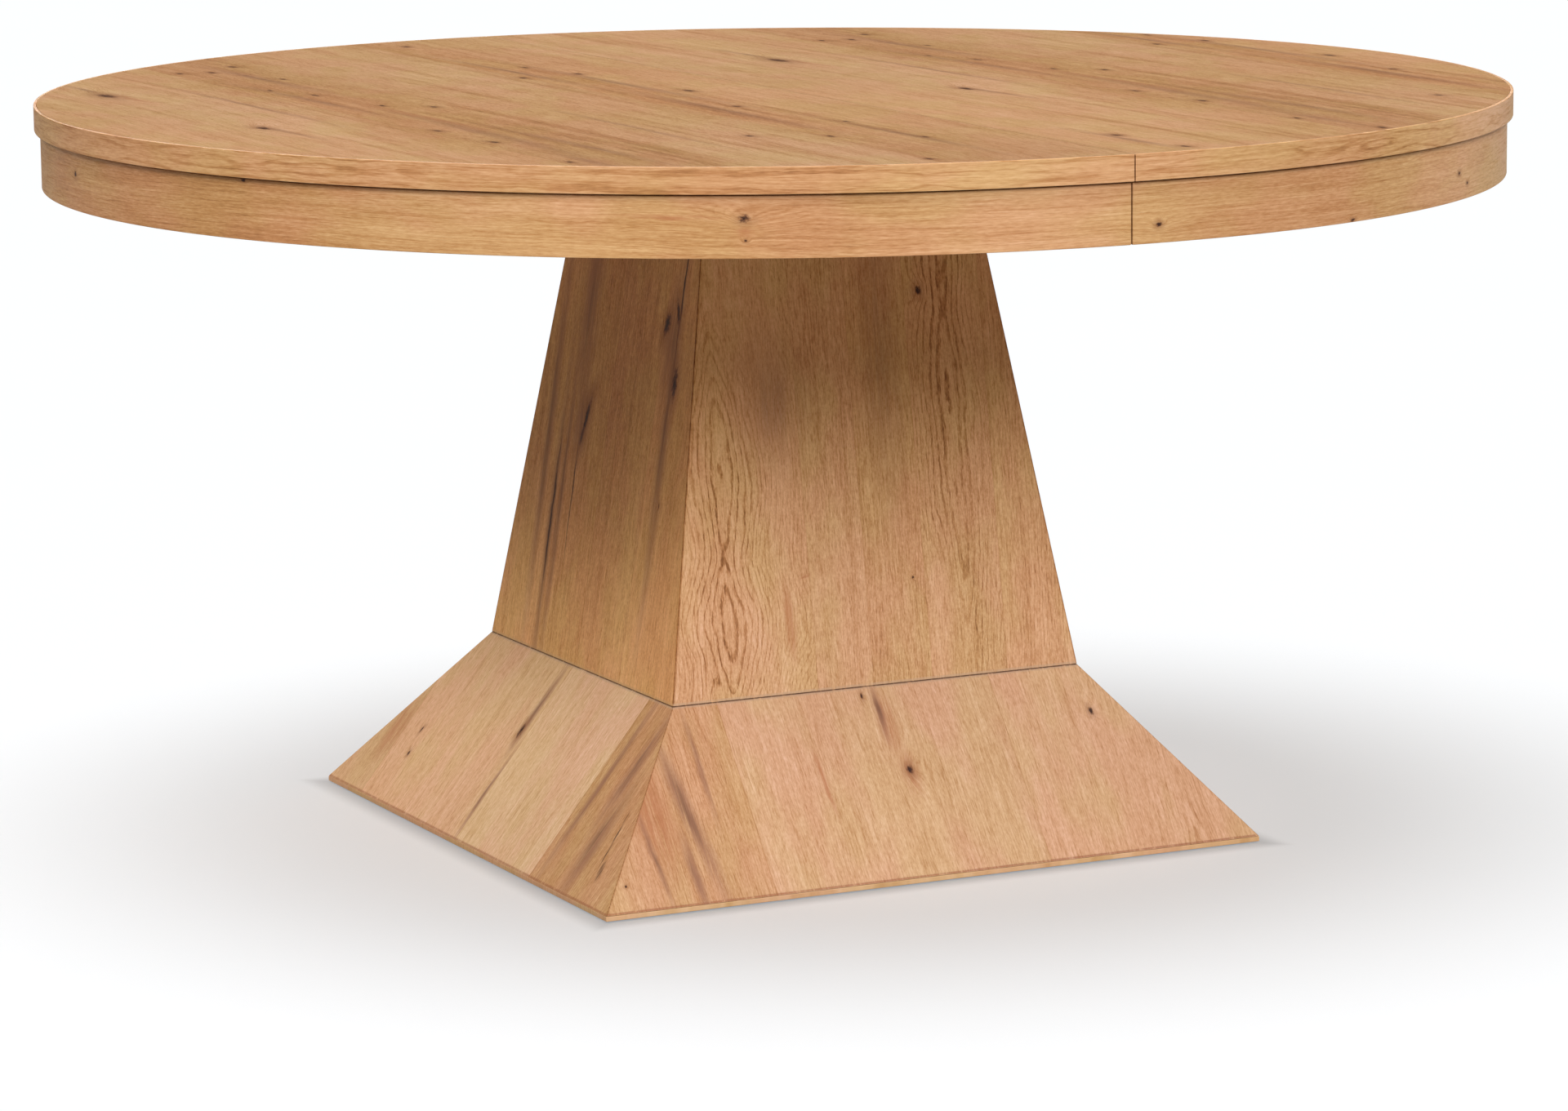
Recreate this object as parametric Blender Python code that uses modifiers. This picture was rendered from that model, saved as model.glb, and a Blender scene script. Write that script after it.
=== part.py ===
"""Round pedestal extension table: two sliding half tops on a square flared pedestal.

Units are metres. +Z is up, the origin is on the floor under the table's axis, the front faces -Y,
and the half tops part along X. The left half is the one at -X.
"""

import math

import bmesh
import bpy
from mathutils import Matrix, Vector

# Driving dimensions
TOP_RADIUS = 0.762
TABLE_HEIGHT = 0.7684
SLAB_THICKNESS = 0.0254
BAND_THICKNESS = 0.003
APRON_INSET = 0.006
APRON_HEIGHT = 0.059
APRON_THICKNESS = 0.018
SEAM_HALF = 0.0003

BASE_HALF = 0.3693
WAIST_HALF = 0.2312
WAIST_Z = 0.1775
COLUMN_TOP_HALF = 0.1496
COLUMN_TOP_Z = 0.690
PANEL_THICKNESS = 0.018
PLINTH_THICKNESS = 0.005
GLIDE_LIFT = 0.0015

TRAVEL = 0.241
GAP = 0.0003
ARC_STEPS = 64

# Sizes that follow from the driving dimensions
SLAB_BOTTOM = TABLE_HEIGHT - SLAB_THICKNESS
SLAB_MIDDLE = TABLE_HEIGHT - SLAB_THICKNESS / 2
UNDER_SLAB = SLAB_BOTTOM - GAP
SLAB_RADIUS = TOP_RADIUS - BAND_THICKNESS - GAP
APRON_RADIUS = TOP_RADIUS - APRON_INSET
APRON_INNER = APRON_RADIUS - APRON_THICKNESS
PLINTH_TOP = GLIDE_LIFT + PLINTH_THICKNESS
PLATFORM_BOTTOM = COLUMN_TOP_Z + GAP
PLATFORM_THICKNESS = 0.018
PLATFORM_TOP = PLATFORM_BOTTOM + PLATFORM_THICKNESS
PLATFORM_HALF = 0.28

# Slides: a grooved beam on the platform between two rails, once in front and once at the rear
BEAM_Y = 0.22
BEAM_WIDTH = 0.032
BEAM_HALF_LENGTH = 0.56
BEAM_BOTTOM = PLATFORM_TOP + GAP
BEAM_TOP = SLAB_BOTTOM - 0.003
GROOVE_Z = (0.7195, 0.7265)
GROOVE_DEPTH = 0.007
RAIL_WIDTH = 0.020
RAIL_SIDE_GAP = 0.0005
RAIL_BOTTOM = PLATFORM_TOP + 0.0015
RAIL_TOP = SLAB_BOTTOM - 0.0018
RAIL_OUTER_X = 0.62
RAIL_INNER_X = 0.30
TONGUE_REACH = 0.006
TONGUE_CLEARANCE = 0.0004
RELIEF_X = 0.004
STOP_CLEARANCE = 0.002
GROOVE_END = RAIL_INNER_X + TRAVEL + STOP_CLEARANCE

# Synchroniser: one pinion on the platform between two racks
MODULE = 0.003
PINION_TEETH = 16
PRESSURE_ANGLE = math.radians(20)
ADDENDUM = 0.85 * MODULE
DEDENDUM = 1.25 * MODULE
TOOTH_THINNING = 0.0004
PITCH_RADIUS = MODULE * PINION_TEETH / 2
PINION_Z = (PLATFORM_TOP + 0.0023, PLATFORM_TOP + 0.0123)
PINION_BORE = 0.0053
AXLE_RADIUS = 0.0049
RACK_X = (-0.05, 0.29)
RACK_BACK_Y = 0.040
CARRIER_OUTER_X = 0.34
CARRIER_Y = (0.0265, 0.0505)
CARRIER_BOTTOM = PINION_Z[1] + 0.0006
WASHER_RADIUS = 0.012
AXLE_HEAD_RADIUS = 0.009
AXLE_HEAD_HEIGHT = 0.004
BOLT_RADIUS = 0.004
BOLT_END_LIFT = 0.004

# Leaf locks under the seam
LOCKS = {"front": -0.48, "rear": 0.48}
LOCK_PIVOT_X = -0.032
KEEPER_PIN_X = 0.014
KEEPER_PIN_RADIUS = 0.0035
STUD_RADIUS = 0.004
STUD_HEAD = 0.0075
LOCK_PLATE_X = (0.006, 0.062)
LOCK_PLATE_HALF_WIDTH = 0.020
LOCK_PLATE_THICKNESS = 0.002
LEVER_Z = (0.7360, 0.7392)
LEVER_REST_ANGLE = math.radians(-90)
LEVER_HUB = 0.013
LEVER_RIM_WIDTH = 0.005
LEVER_HANDLE_END = 0.008
LEVER_HANDLE_REACH = 0.062
LEVER_BORE_CLEARANCE = 0.0004
LEVER_PIN_CLEARANCE = 0.0008
KEEPER_PIN_PROUD = 0.0015
STUD_HEAD_HEIGHT = 0.0018
STUD_SEGMENTS = 16

# Fasteners
SCREW_SEGMENTS = 8
ROUND_SEGMENTS = 20
SCREW_CLEARANCE = 0.0004
SCREW_HEAD = 0.0060
SCREW_SHANK = 0.0030
SCREW_LENGTH = 0.0320
SCREW_HEAD_DEPTH = 0.0035
SCREW_OFFSET = 0.095
DOWEL_RADIUS = 0.005
DOWEL_REACH = 0.018
DOWEL_Y = (-0.57, -0.20, 0.20, 0.57)

# Battens, boards and glides
BATTEN_X = (0.632, 0.662)
BATTEN_HALF_LENGTH = 0.27
BATTEN_HEIGHT = 0.030
POST_WIDTH = 0.035
CAP_THICKNESS = 0.018
DECK_THICKNESS = 0.018
RIB_INNER = 0.030
GLIDE_RADIUS = 0.015
GLIDE_OFFSET = 0.29
GLIDE_EASE = 0.001

ALONG_X = Matrix(((0, 0, 1, 0), (1, 0, 0, 0), (0, 1, 0, 0), (0, 0, 0, 1)))
STANDING = Matrix.Rotation(math.pi / 2, 4, "X")
SIDES = {"left": -1, "right": 1}
QUARTERS = {"front": 0, "right": 1, "back": 2, "left": 3}
CORNERS = {"front_left": (-1, -1), "front_right": (1, -1), "back_right": (1, 1), "back_left": (-1, 1)}
BEAMS = {"front": -BEAM_Y, "rear": BEAM_Y}


def clear_scene():
    for item in list(bpy.data.objects):
        bpy.data.objects.remove(item, do_unlink=True)


def make_collection(name):
    collection = bpy.data.collections.new(name)
    bpy.context.scene.collection.children.link(collection)
    return collection


def make_material(name, colour, roughness, metallic=0.0):
    material = bpy.data.materials.new(name)
    material.use_nodes = True
    shader = material.node_tree.nodes["Principled BSDF"]
    shader.inputs["Base Color"].default_value = (*colour, 1.0)
    shader.inputs["Roughness"].default_value = roughness
    shader.inputs["Metallic"].default_value = metallic
    return material


clear_scene()
TABLE = make_collection("round_pedestal_table")
CUTTERS = make_collection("cutters")

TOP_OAK = make_material("top_oak", (0.56, 0.35, 0.18), 0.42)
EDGE_OAK = make_material("edge_oak", (0.60, 0.38, 0.20), 0.42)
PEDESTAL_OAK = make_material("pedestal_oak", (0.55, 0.34, 0.19), 0.45)
FRAME_WOOD = make_material("frame_wood", (0.66, 0.50, 0.32), 0.65)
PLYWOOD = make_material("plywood", (0.70, 0.55, 0.37), 0.65)
BEECH = make_material("beech", (0.69, 0.48, 0.31), 0.50)
STEEL = make_material("steel", (0.62, 0.62, 0.60), 0.32, 1.0)
NYLON = make_material("nylon", (0.82, 0.80, 0.74), 0.45)


def add_empty(name, location=(0, 0, 0)):
    empty = bpy.data.objects.new(name, None)
    empty.location = location
    TABLE.objects.link(empty)
    return empty


PEDESTAL = add_empty("pedestal_body")
HALVES = {side: add_empty(f"{side}_half_body") for side in SIDES}


def add_part(name, mesh, material, parent, matrix=None):
    """Put a mesh in the table's collection as one named part."""
    part = bpy.data.objects.new(name, mesh)
    part.parent = parent
    if not mesh.materials:
        mesh.materials.append(material)
    if matrix is not None:
        part.matrix_local = matrix
    TABLE.objects.link(part)
    return part


def finish_mesh(name, bm):
    bmesh.ops.recalc_face_normals(bm, faces=bm.faces)
    mesh = bpy.data.meshes.new(name)
    bm.to_mesh(mesh)
    bm.free()
    return mesh


def box_mesh(name, low, high):
    """A cube primitive stretched between two corners."""
    bm = bmesh.new()
    bmesh.ops.create_cube(bm, size=1.0)
    low = Vector(low)
    high = Vector(high)
    for vertex in bm.verts:
        for axis in range(3):
            vertex.co[axis] = high[axis] if vertex.co[axis] > 0 else low[axis]
    return finish_mesh(name, bm)


def evaluated_mesh(name, item):
    """Turn a curve, or a profile with modifiers, into a welded mesh and remove the source."""
    bpy.context.scene.collection.objects.link(item)
    bpy.context.view_layer.update()
    source = item.evaluated_get(bpy.context.evaluated_depsgraph_get())
    mesh = bpy.data.meshes.new_from_object(source)
    bpy.data.objects.remove(item, do_unlink=True)
    bm = bmesh.new()
    bm.from_mesh(mesh)
    bpy.data.meshes.remove(mesh)
    bmesh.ops.remove_doubles(bm, verts=bm.verts, dist=0.00002)
    return finish_mesh(name, bm)


def prism_mesh(name, outlines, low, high):
    """Flat outlines in XY, filled and extruded from low to high along Z. Inner outlines are holes."""
    curve = bpy.data.curves.new(name, "CURVE")
    curve.dimensions = "2D"
    curve.fill_mode = "BOTH"
    curve.extrude = (high - low) / 2
    for outline in outlines:
        spline = curve.splines.new("POLY")
        spline.points.add(len(outline) - 1)
        for point, (x, y) in zip(spline.points, outline):
            point.co = (x, y, 0, 1)
        spline.use_cyclic_u = True
    mesh = evaluated_mesh(name, bpy.data.objects.new(name, curve))
    mesh.transform(Matrix.Translation((0, 0, (high + low) / 2)))
    return mesh


def turned_mesh(name, profile, segments, closed=False):
    """Turn a profile of (radius, z) points, from top to bottom, round the Z axis."""
    mesh = bpy.data.meshes.new(name)
    count = len(profile)
    edges = [(i, i + 1) for i in range(count - 1)]
    if closed:
        edges.append((count - 1, 0))
    mesh.from_pydata([(radius, 0, z) for radius, z in profile], edges, [])
    item = bpy.data.objects.new(name, mesh)
    screw = item.modifiers.new("Turn", "SCREW")
    screw.steps = segments
    screw.render_steps = segments
    screw.use_merge_vertices = True
    screw.merge_threshold = 0.00002
    return evaluated_mesh(name, item)


def repeated_mesh(name, mesh, places):
    """One mesh that holds copies at several places, for a cutter that makes several holes."""
    bm = bmesh.new()
    for place in places:
        copy = mesh.copy()
        copy.transform(place)
        bm.from_mesh(copy)
        bpy.data.meshes.remove(copy)
    bpy.data.meshes.remove(mesh)
    return finish_mesh(name, bm)


def add_cutter(name, mesh):
    cutter = bpy.data.objects.new(name, mesh)
    cutter.hide_render = True
    cutter.display_type = "WIRE"
    CUTTERS.objects.link(cutter)
    return cutter


def use_boolean(part, tool, operation="DIFFERENCE"):
    boolean = part.modifiers.new(tool.name, "BOOLEAN")
    boolean.operation = operation
    boolean.solver = "EXACT"
    boolean.object = tool


def arc(radius, start, end, steps, centre=(0, 0)):
    """Points along an arc, from start to end in radians."""
    angles = [start + (end - start) * i / steps for i in range(steps + 1)]
    return [(centre[0] + radius * math.cos(a), centre[1] + radius * math.sin(a)) for a in angles]


def half_arc(radius, side):
    """The arc of one half top, which stops at the seam gap."""
    reach = math.pi / 2 - math.asin(SEAM_HALF / radius)
    middle = 0 if side > 0 else math.pi
    return arc(radius, middle - reach, middle + reach, ARC_STEPS)


def half_ring(outer, inner, side):
    return half_arc(outer, side) + half_arc(inner, side)[::-1]


def mirrored(low, high, side):
    """Order two X values of the right half for the given side."""
    return (low, high) if side > 0 else (-high, -low)


# Pedestal


def slope_factor(bottom_half, top_half, height):
    """A sloping panel's thickness measured level, over its true thickness."""
    return math.hypot(1, (bottom_half - top_half) / height)


def half_at(z, bottom_half, top_half, low, high):
    return bottom_half + (top_half - bottom_half) * (z - low) / (high - low)


COLUMN_WALL = PANEL_THICKNESS * slope_factor(WAIST_HALF, COLUMN_TOP_HALF, COLUMN_TOP_Z - WAIST_Z)
BASE_WALL = PANEL_THICKNESS * slope_factor(BASE_HALF, WAIST_HALF, WAIST_Z - PLINTH_TOP)


def column_inner(z):
    outer = half_at(z, WAIST_HALF, COLUMN_TOP_HALF, WAIST_Z, COLUMN_TOP_Z)
    return outer - COLUMN_WALL - GAP


def base_inner(z):
    outer = half_at(z, BASE_HALF, WAIST_HALF, PLINTH_TOP, WAIST_Z)
    return outer - BASE_WALL - GAP


def tapered_mesh(name, low, high, section_low, section_high):
    """A cube primitive whose corners follow a lower and an upper section of (x, y) corners."""
    bm = bmesh.new()
    bmesh.ops.create_cube(bm, size=1.0)
    for vertex in bm.verts:
        section = section_high if vertex.co.z > 0 else section_low
        corner = (2 if vertex.co.y > 0 else 0) + (1 if vertex.co.x > 0 else 0)
        x, y = section[corner]
        vertex.co = (x, y, high if vertex.co.z > 0 else low)
    return finish_mesh(name, bm)


def panel_section(half, wall):
    """The mitred end of a front panel: outer corners first, then inner corners."""
    outer = half - 0.75 * GAP
    inner = outer - wall
    return [(-outer, -half), (outer, -half), (-inner, wall - half), (inner, wall - half)]


def square_section(half):
    return [(-half, -half), (half, -half), (-half, half), (half, half)]


def post_section(half):
    near = half - POST_WIDTH
    return [(-half, -half), (-near, -half), (-half, -near), (-near, -near)]


def quarter_turn(index):
    return Matrix.Rotation(index * math.pi / 2, 4, "Z")


def make_panels(prefix, low, high, low_half, high_half, wall):
    mesh = tapered_mesh(
        prefix, low, high, panel_section(low_half, wall), panel_section(high_half, wall)
    )
    for name, index in QUARTERS.items():
        add_part(f"{prefix}_{name}", mesh, PEDESTAL_OAK, PEDESTAL, quarter_turn(index))


def make_column():
    make_panels(
        "column_panel", WAIST_Z, COLUMN_TOP_Z, WAIST_HALF, COLUMN_TOP_HALF, COLUMN_WALL
    )
    cap_bottom = COLUMN_TOP_Z - CAP_THICKNESS
    post_low = WAIST_Z
    post_high = cap_bottom - GAP
    mesh = tapered_mesh(
        "column_post",
        post_low,
        post_high,
        post_section(column_inner(post_low)),
        post_section(column_inner(post_high)),
    )
    for index, corner in enumerate(CORNERS):
        add_part(f"column_post_{corner}", mesh, FRAME_WOOD, PEDESTAL, quarter_turn(index))
    cap = tapered_mesh(
        "column_cap",
        cap_bottom,
        COLUMN_TOP_Z,
        square_section(column_inner(cap_bottom)),
        square_section(column_inner(COLUMN_TOP_Z)),
    )
    return add_part("column_cap", cap, PLYWOOD, PEDESTAL)


def make_base():
    deck_top = WAIST_Z - GAP
    deck_bottom = deck_top - DECK_THICKNESS
    panel_low = PLINTH_TOP + GAP
    make_panels("base_panel", panel_low, deck_top, BASE_HALF, WAIST_HALF, BASE_WALL)
    deck = tapered_mesh(
        "waist_deck",
        deck_bottom,
        deck_top,
        square_section(base_inner(deck_bottom)),
        square_section(base_inner(deck_top)),
    )
    add_part("waist_deck", deck, PLYWOOD, PEDESTAL)
    rib_high = deck_bottom - GAP
    outline = [
        (-RIB_INNER, panel_low),
        (-RIB_INNER, rib_high),
        (-base_inner(rib_high), rib_high),
        (-base_inner(panel_low), panel_low),
    ]
    mesh = prism_mesh("base_rib", [outline], -PANEL_THICKNESS / 2, PANEL_THICKNESS / 2)
    for name, index in QUARTERS.items():
        add_part(f"base_rib_{name}", mesh, PLYWOOD, PEDESTAL, quarter_turn(index) @ ALONG_X)
    plinth = box_mesh(
        "plinth_board",
        (-BASE_HALF, -BASE_HALF, GLIDE_LIFT),
        (BASE_HALF, BASE_HALF, PLINTH_TOP),
    )
    make_glides(add_part("plinth_board", plinth, EDGE_OAK, PEDESTAL))


def corner_places(offset, z=0.0):
    return {name: Matrix.Translation((sx * offset, sy * offset, z)) for name, (sx, sy) in CORNERS.items()}


def cylinder_cutter(name, radius, low, high, places=(Matrix(),)):
    """Round holes cut from low to high at the given places."""
    profile = [(0, high), (radius, high), (radius, low), (0, low)]
    mesh = turned_mesh(name, profile, ROUND_SEGMENTS)
    return add_cutter(name, repeated_mesh(name, mesh, places))


def make_glides(plinth):
    """Glides with an eased foot, let into round holes near the plinth board's corners."""
    top = PLINTH_TOP - GAP
    foot = GLIDE_EASE
    profile = [
        (0, top),
        (GLIDE_RADIUS, top),
        (GLIDE_RADIUS, foot),
        (GLIDE_RADIUS - foot, 0),
        (0, 0),
    ]
    mesh = turned_mesh("floor_glide", profile, ROUND_SEGMENTS)
    places = corner_places(GLIDE_OFFSET)
    for corner, place in places.items():
        add_part(f"floor_glide_{corner}", mesh, NYLON, PEDESTAL, place)
    hole_radius = GLIDE_RADIUS + 2 * GAP
    holes = cylinder_cutter("glide_holes", hole_radius, -0.01, 2 * PLINTH_TOP, places.values())
    use_boolean(plinth, holes)


# Platform, beams and pinion, all fixed on the pedestal


def make_platform(cap):
    platform = add_part(
        "mounting_platform",
        box_mesh(
            "mounting_platform",
            (-PLATFORM_HALF, -PLATFORM_HALF, PLATFORM_BOTTOM),
            (PLATFORM_HALF, PLATFORM_HALF, PLATFORM_TOP),
        ),
        PLYWOOD,
        PEDESTAL,
    )
    make_platform_screws((platform, cap))
    return platform


def make_platform_screws(targets):
    """Countersunk screws, head up, that hold the platform on the column's cap."""
    profile = [
        (0, 0),
        (SCREW_HEAD, 0),
        (SCREW_SHANK, -SCREW_HEAD_DEPTH),
        (SCREW_SHANK, 0.005 - SCREW_LENGTH),
        (0, -SCREW_LENGTH),
    ]
    hole_profile = [
        (0, 0.01),
        (SCREW_HEAD + SCREW_CLEARANCE, 0.01),
        (SCREW_HEAD + SCREW_CLEARANCE, 0),
        (SCREW_SHANK + SCREW_CLEARANCE, -SCREW_HEAD_DEPTH - SCREW_CLEARANCE),
        (SCREW_SHANK + SCREW_CLEARANCE, 0.004 - SCREW_LENGTH),
        (0, -SCREW_LENGTH - SCREW_CLEARANCE),
    ]
    places = corner_places(SCREW_OFFSET, PLATFORM_TOP - GAP)
    screw = turned_mesh("platform_screw", profile, SCREW_SEGMENTS)
    for corner, place in places.items():
        add_part(f"platform_screw_{corner}", screw, STEEL, PEDESTAL, place)
    hole = turned_mesh("screw_holes", hole_profile, SCREW_SEGMENTS)
    holes = add_cutter("screw_holes", repeated_mesh("screw_holes", hole, places.values()))
    for target in targets:
        use_boolean(target, holes)


def make_beams():
    """Each beam has two stopped grooves. A groove is open at one end, so that its rail goes in."""
    for where, beam_y in BEAMS.items():
        half = BEAM_WIDTH / 2
        mesh = box_mesh(
            f"centre_beam_{where}",
            (-BEAM_HALF_LENGTH, beam_y - half, BEAM_BOTTOM),
            (BEAM_HALF_LENGTH, beam_y + half, BEAM_TOP),
        )
        beam = add_part(f"centre_beam_{where}", mesh, BEECH, PEDESTAL)
        for name, side in SIDES.items():
            low, high = mirrored(-2 * BEAM_HALF_LENGTH, GROOVE_END, side)
            depth = beam_y + side * (half - GROOVE_DEPTH)
            outside = beam_y + side * 2 * half
            groove = box_mesh(
                "groove",
                (low, min(depth, outside), GROOVE_Z[0]),
                (high, max(depth, outside), GROOVE_Z[1]),
            )
            use_boolean(beam, add_cutter(f"groove_{name}_{where}", groove))


def involute_point(base_radius, roll):
    """A point on an involute that starts on the X axis."""
    x = base_radius * (math.cos(roll) + roll * math.sin(roll))
    y = base_radius * (math.sin(roll) - roll * math.cos(roll))
    return x, y


def pinion_outline():
    """Involute teeth by formula, with one tooth centred on each axis."""
    base = PITCH_RADIUS * math.cos(PRESSURE_ANGLE)
    root = PITCH_RADIUS - DEDENDUM
    tip = PITCH_RADIUS + ADDENDUM
    last_roll = math.sqrt((tip / base) ** 2 - 1)
    pitch_roll = math.tan(PRESSURE_ANGLE)
    half_thickness = (math.pi * MODULE / 2 - TOOTH_THINNING) / (2 * PITCH_RADIUS)
    offset = half_thickness + pitch_roll - math.atan(pitch_roll)
    steps = 4
    flank = [(root, -offset)]
    for step in range(steps + 1):
        x, y = involute_point(base, last_roll * step / steps)
        flank.append((math.hypot(x, y), math.atan2(y, x) - offset))
    tooth = flank + [(radius, -angle) for radius, angle in reversed(flank)]
    outline = []
    for index in range(PINION_TEETH):
        turn = 2 * math.pi * index / PINION_TEETH
        for radius, angle in tooth:
            outline.append((radius * math.cos(turn + angle), radius * math.sin(turn + angle)))
    return outline


def make_pinion(platform):
    bore = arc(PINION_BORE, 0, 2 * math.pi, ROUND_SEGMENTS)[:-1]
    mesh = prism_mesh("pinion_gear", [pinion_outline(), bore], *PINION_Z)
    add_part("pinion_gear", mesh, NYLON, add_empty("pinion_axis"))
    washer_high = PINION_Z[0] - GAP
    washer_low = PLATFORM_TOP + GAP
    washer = [
        (WASHER_RADIUS, washer_high),
        (WASHER_RADIUS, washer_low),
        (PINION_BORE, washer_low),
        (PINION_BORE, washer_high),
    ]
    mesh = turned_mesh("pinion_washer", washer, ROUND_SEGMENTS, closed=True)
    add_part("pinion_washer", mesh, STEEL, PEDESTAL)
    head_low = PINION_Z[1] + 2 * GAP
    head_top = head_low + AXLE_HEAD_HEIGHT
    bolt_end = PLATFORM_BOTTOM + BOLT_END_LIFT
    profile = [
        (0, head_top),
        (AXLE_HEAD_RADIUS, head_top),
        (AXLE_HEAD_RADIUS, head_low),
        (AXLE_RADIUS, head_low),
        (AXLE_RADIUS, washer_low),
        (BOLT_RADIUS, washer_low),
        (BOLT_RADIUS, bolt_end),
        (0, bolt_end),
    ]
    add_part("pinion_axle", turned_mesh("pinion_axle", profile, ROUND_SEGMENTS), STEEL, PEDESTAL)
    hole_ends = (PLATFORM_BOTTOM - 0.01, PLATFORM_TOP + 0.01)
    use_boolean(platform, cylinder_cutter("axle_hole", BOLT_RADIUS + GAP, *hole_ends))


# The two half tops


def make_slab(name, side):
    outline = half_arc(SLAB_RADIUS, side)
    mesh = prism_mesh(f"tabletop_{name}", [outline], SLAB_BOTTOM, TABLE_HEIGHT)
    return add_part(f"tabletop_{name}", mesh, TOP_OAK, HALVES[name])


def make_rings(name, side):
    band = half_ring(TOP_RADIUS, TOP_RADIUS - BAND_THICKNESS, side)
    mesh = prism_mesh(f"edge_band_{name}", [band], SLAB_BOTTOM, TABLE_HEIGHT)
    add_part(f"edge_band_{name}", mesh, EDGE_OAK, HALVES[name])
    apron = half_ring(APRON_RADIUS, APRON_INNER, side)
    mesh = prism_mesh(f"apron_{name}", [apron], UNDER_SLAB - APRON_HEIGHT, UNDER_SLAB)
    add_part(f"apron_{name}", mesh, EDGE_OAK, HALVES[name])


def make_batten(name, side):
    low, high = mirrored(*BATTEN_X, side)
    mesh = box_mesh(
        f"end_batten_{name}",
        (low, -BATTEN_HALF_LENGTH, UNDER_SLAB - BATTEN_HEIGHT),
        (high, BATTEN_HALF_LENGTH, UNDER_SLAB),
    )
    add_part(f"end_batten_{name}", mesh, FRAME_WOOD, HALVES[name])


def relieved_bar(name, side, inner_x, outer_x, faces_y, bottom):
    """A bar fixed under its own slab, whose top is planed down where it runs under the other slab."""
    outline = [
        (-inner_x, bottom),
        (outer_x, bottom),
        (outer_x, UNDER_SLAB),
        (RELIEF_X, UNDER_SLAB),
        (RELIEF_X, RAIL_TOP),
        (-inner_x, RAIL_TOP),
    ]
    mesh = prism_mesh(name, [[(side * x, z) for x, z in outline]], -max(faces_y), -min(faces_y))
    mesh.transform(STANDING)
    return mesh


def make_rail(name, side, where, beam_y):
    """A rail under its half top, with a tongue that runs in the beam's groove."""
    node = f"slide_rail_{name}_{where}"
    face = beam_y + side * (BEAM_WIDTH / 2 + RAIL_SIDE_GAP)
    back = face + side * RAIL_WIDTH
    body = relieved_bar(node, side, RAIL_INNER_X, RAIL_OUTER_X, (face, back), RAIL_BOTTOM)
    rail = add_part(node, body, BEECH, HALVES[name])
    tip = face - side * TONGUE_REACH
    root = (face + back) / 2
    low, high = mirrored(GAP - RAIL_INNER_X, RAIL_INNER_X, side)
    tongue = box_mesh(
        "tongue",
        (low, min(tip, root), GROOVE_Z[0] + TONGUE_CLEARANCE),
        (high, max(tip, root), GROOVE_Z[1] - TONGUE_CLEARANCE),
    )
    use_boolean(rail, add_cutter(f"tongue_{name}_{where}", tongue), "UNION")


def rack_outline():
    """Straight-sided rack teeth that point at the pinion, with a space at the pinion's centre."""
    pitch = math.pi * MODULE
    half = (pitch / 2 - TOOTH_THINNING) / 2
    tip_half = half - ADDENDUM * math.tan(PRESSURE_ANGLE)
    root_half = half + DEDENDUM * math.tan(PRESSURE_ANGLE)
    tip_y = PITCH_RADIUS - ADDENDUM
    root_y = PITCH_RADIUS + DEDENDUM
    outline = [(RACK_X[1], RACK_BACK_Y), (RACK_X[0], RACK_BACK_Y), (RACK_X[0], root_y)]
    first = math.ceil(RACK_X[0] / pitch)
    last = math.floor(RACK_X[1] / pitch) - 1
    for index in range(first, last + 1):
        centre = (index + 0.5) * pitch
        outline += [
            (centre - root_half, root_y),
            (centre - tip_half, tip_y),
            (centre + tip_half, tip_y),
            (centre + root_half, root_y),
        ]
    outline.append((RACK_X[1], root_y))
    return outline


def make_rack(name, side):
    """The rack and its carrier: the left half's at +Y of the pinion, the right half's at -Y."""
    mesh = prism_mesh(f"rack_{name}", [rack_outline()], *PINION_Z)
    mesh.transform(Matrix.Rotation(0 if side < 0 else math.pi, 4, "Z"))
    add_part(f"rack_{name}", mesh, NYLON, HALVES[name])
    node = f"rack_carrier_{name}"
    faces_y = [-side * y for y in CARRIER_Y]
    mesh = relieved_bar(node, side, RACK_X[1], CARRIER_OUTER_X, faces_y, CARRIER_BOTTOM)
    add_part(node, mesh, BEECH, HALVES[name])


def lock_plate_mesh(name, side, y):
    low, high = mirrored(*LOCK_PLATE_X, side)
    return box_mesh(
        name,
        (low, y - LOCK_PLATE_HALF_WIDTH, UNDER_SLAB - LOCK_PLATE_THICKNESS),
        (high, y + LOCK_PLATE_HALF_WIDTH, UNDER_SLAB),
    )


def make_keeper(where, y):
    """A plate on the right half with a plain pin that the lever's hook takes."""
    top = UNDER_SLAB - LOCK_PLATE_THICKNESS / 2
    bottom = LEVER_Z[0] - KEEPER_PIN_PROUD
    plate = add_part(
        f"lock_keeper_{where}", lock_plate_mesh("lock_keeper", 1, y), STEEL, HALVES["right"]
    )
    place = Matrix.Translation((KEEPER_PIN_X, y, 0))
    pin = cylinder_cutter(f"keeper_pin_{where}", KEEPER_PIN_RADIUS, bottom, top, (place,))
    use_boolean(plate, pin, "UNION")


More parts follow.
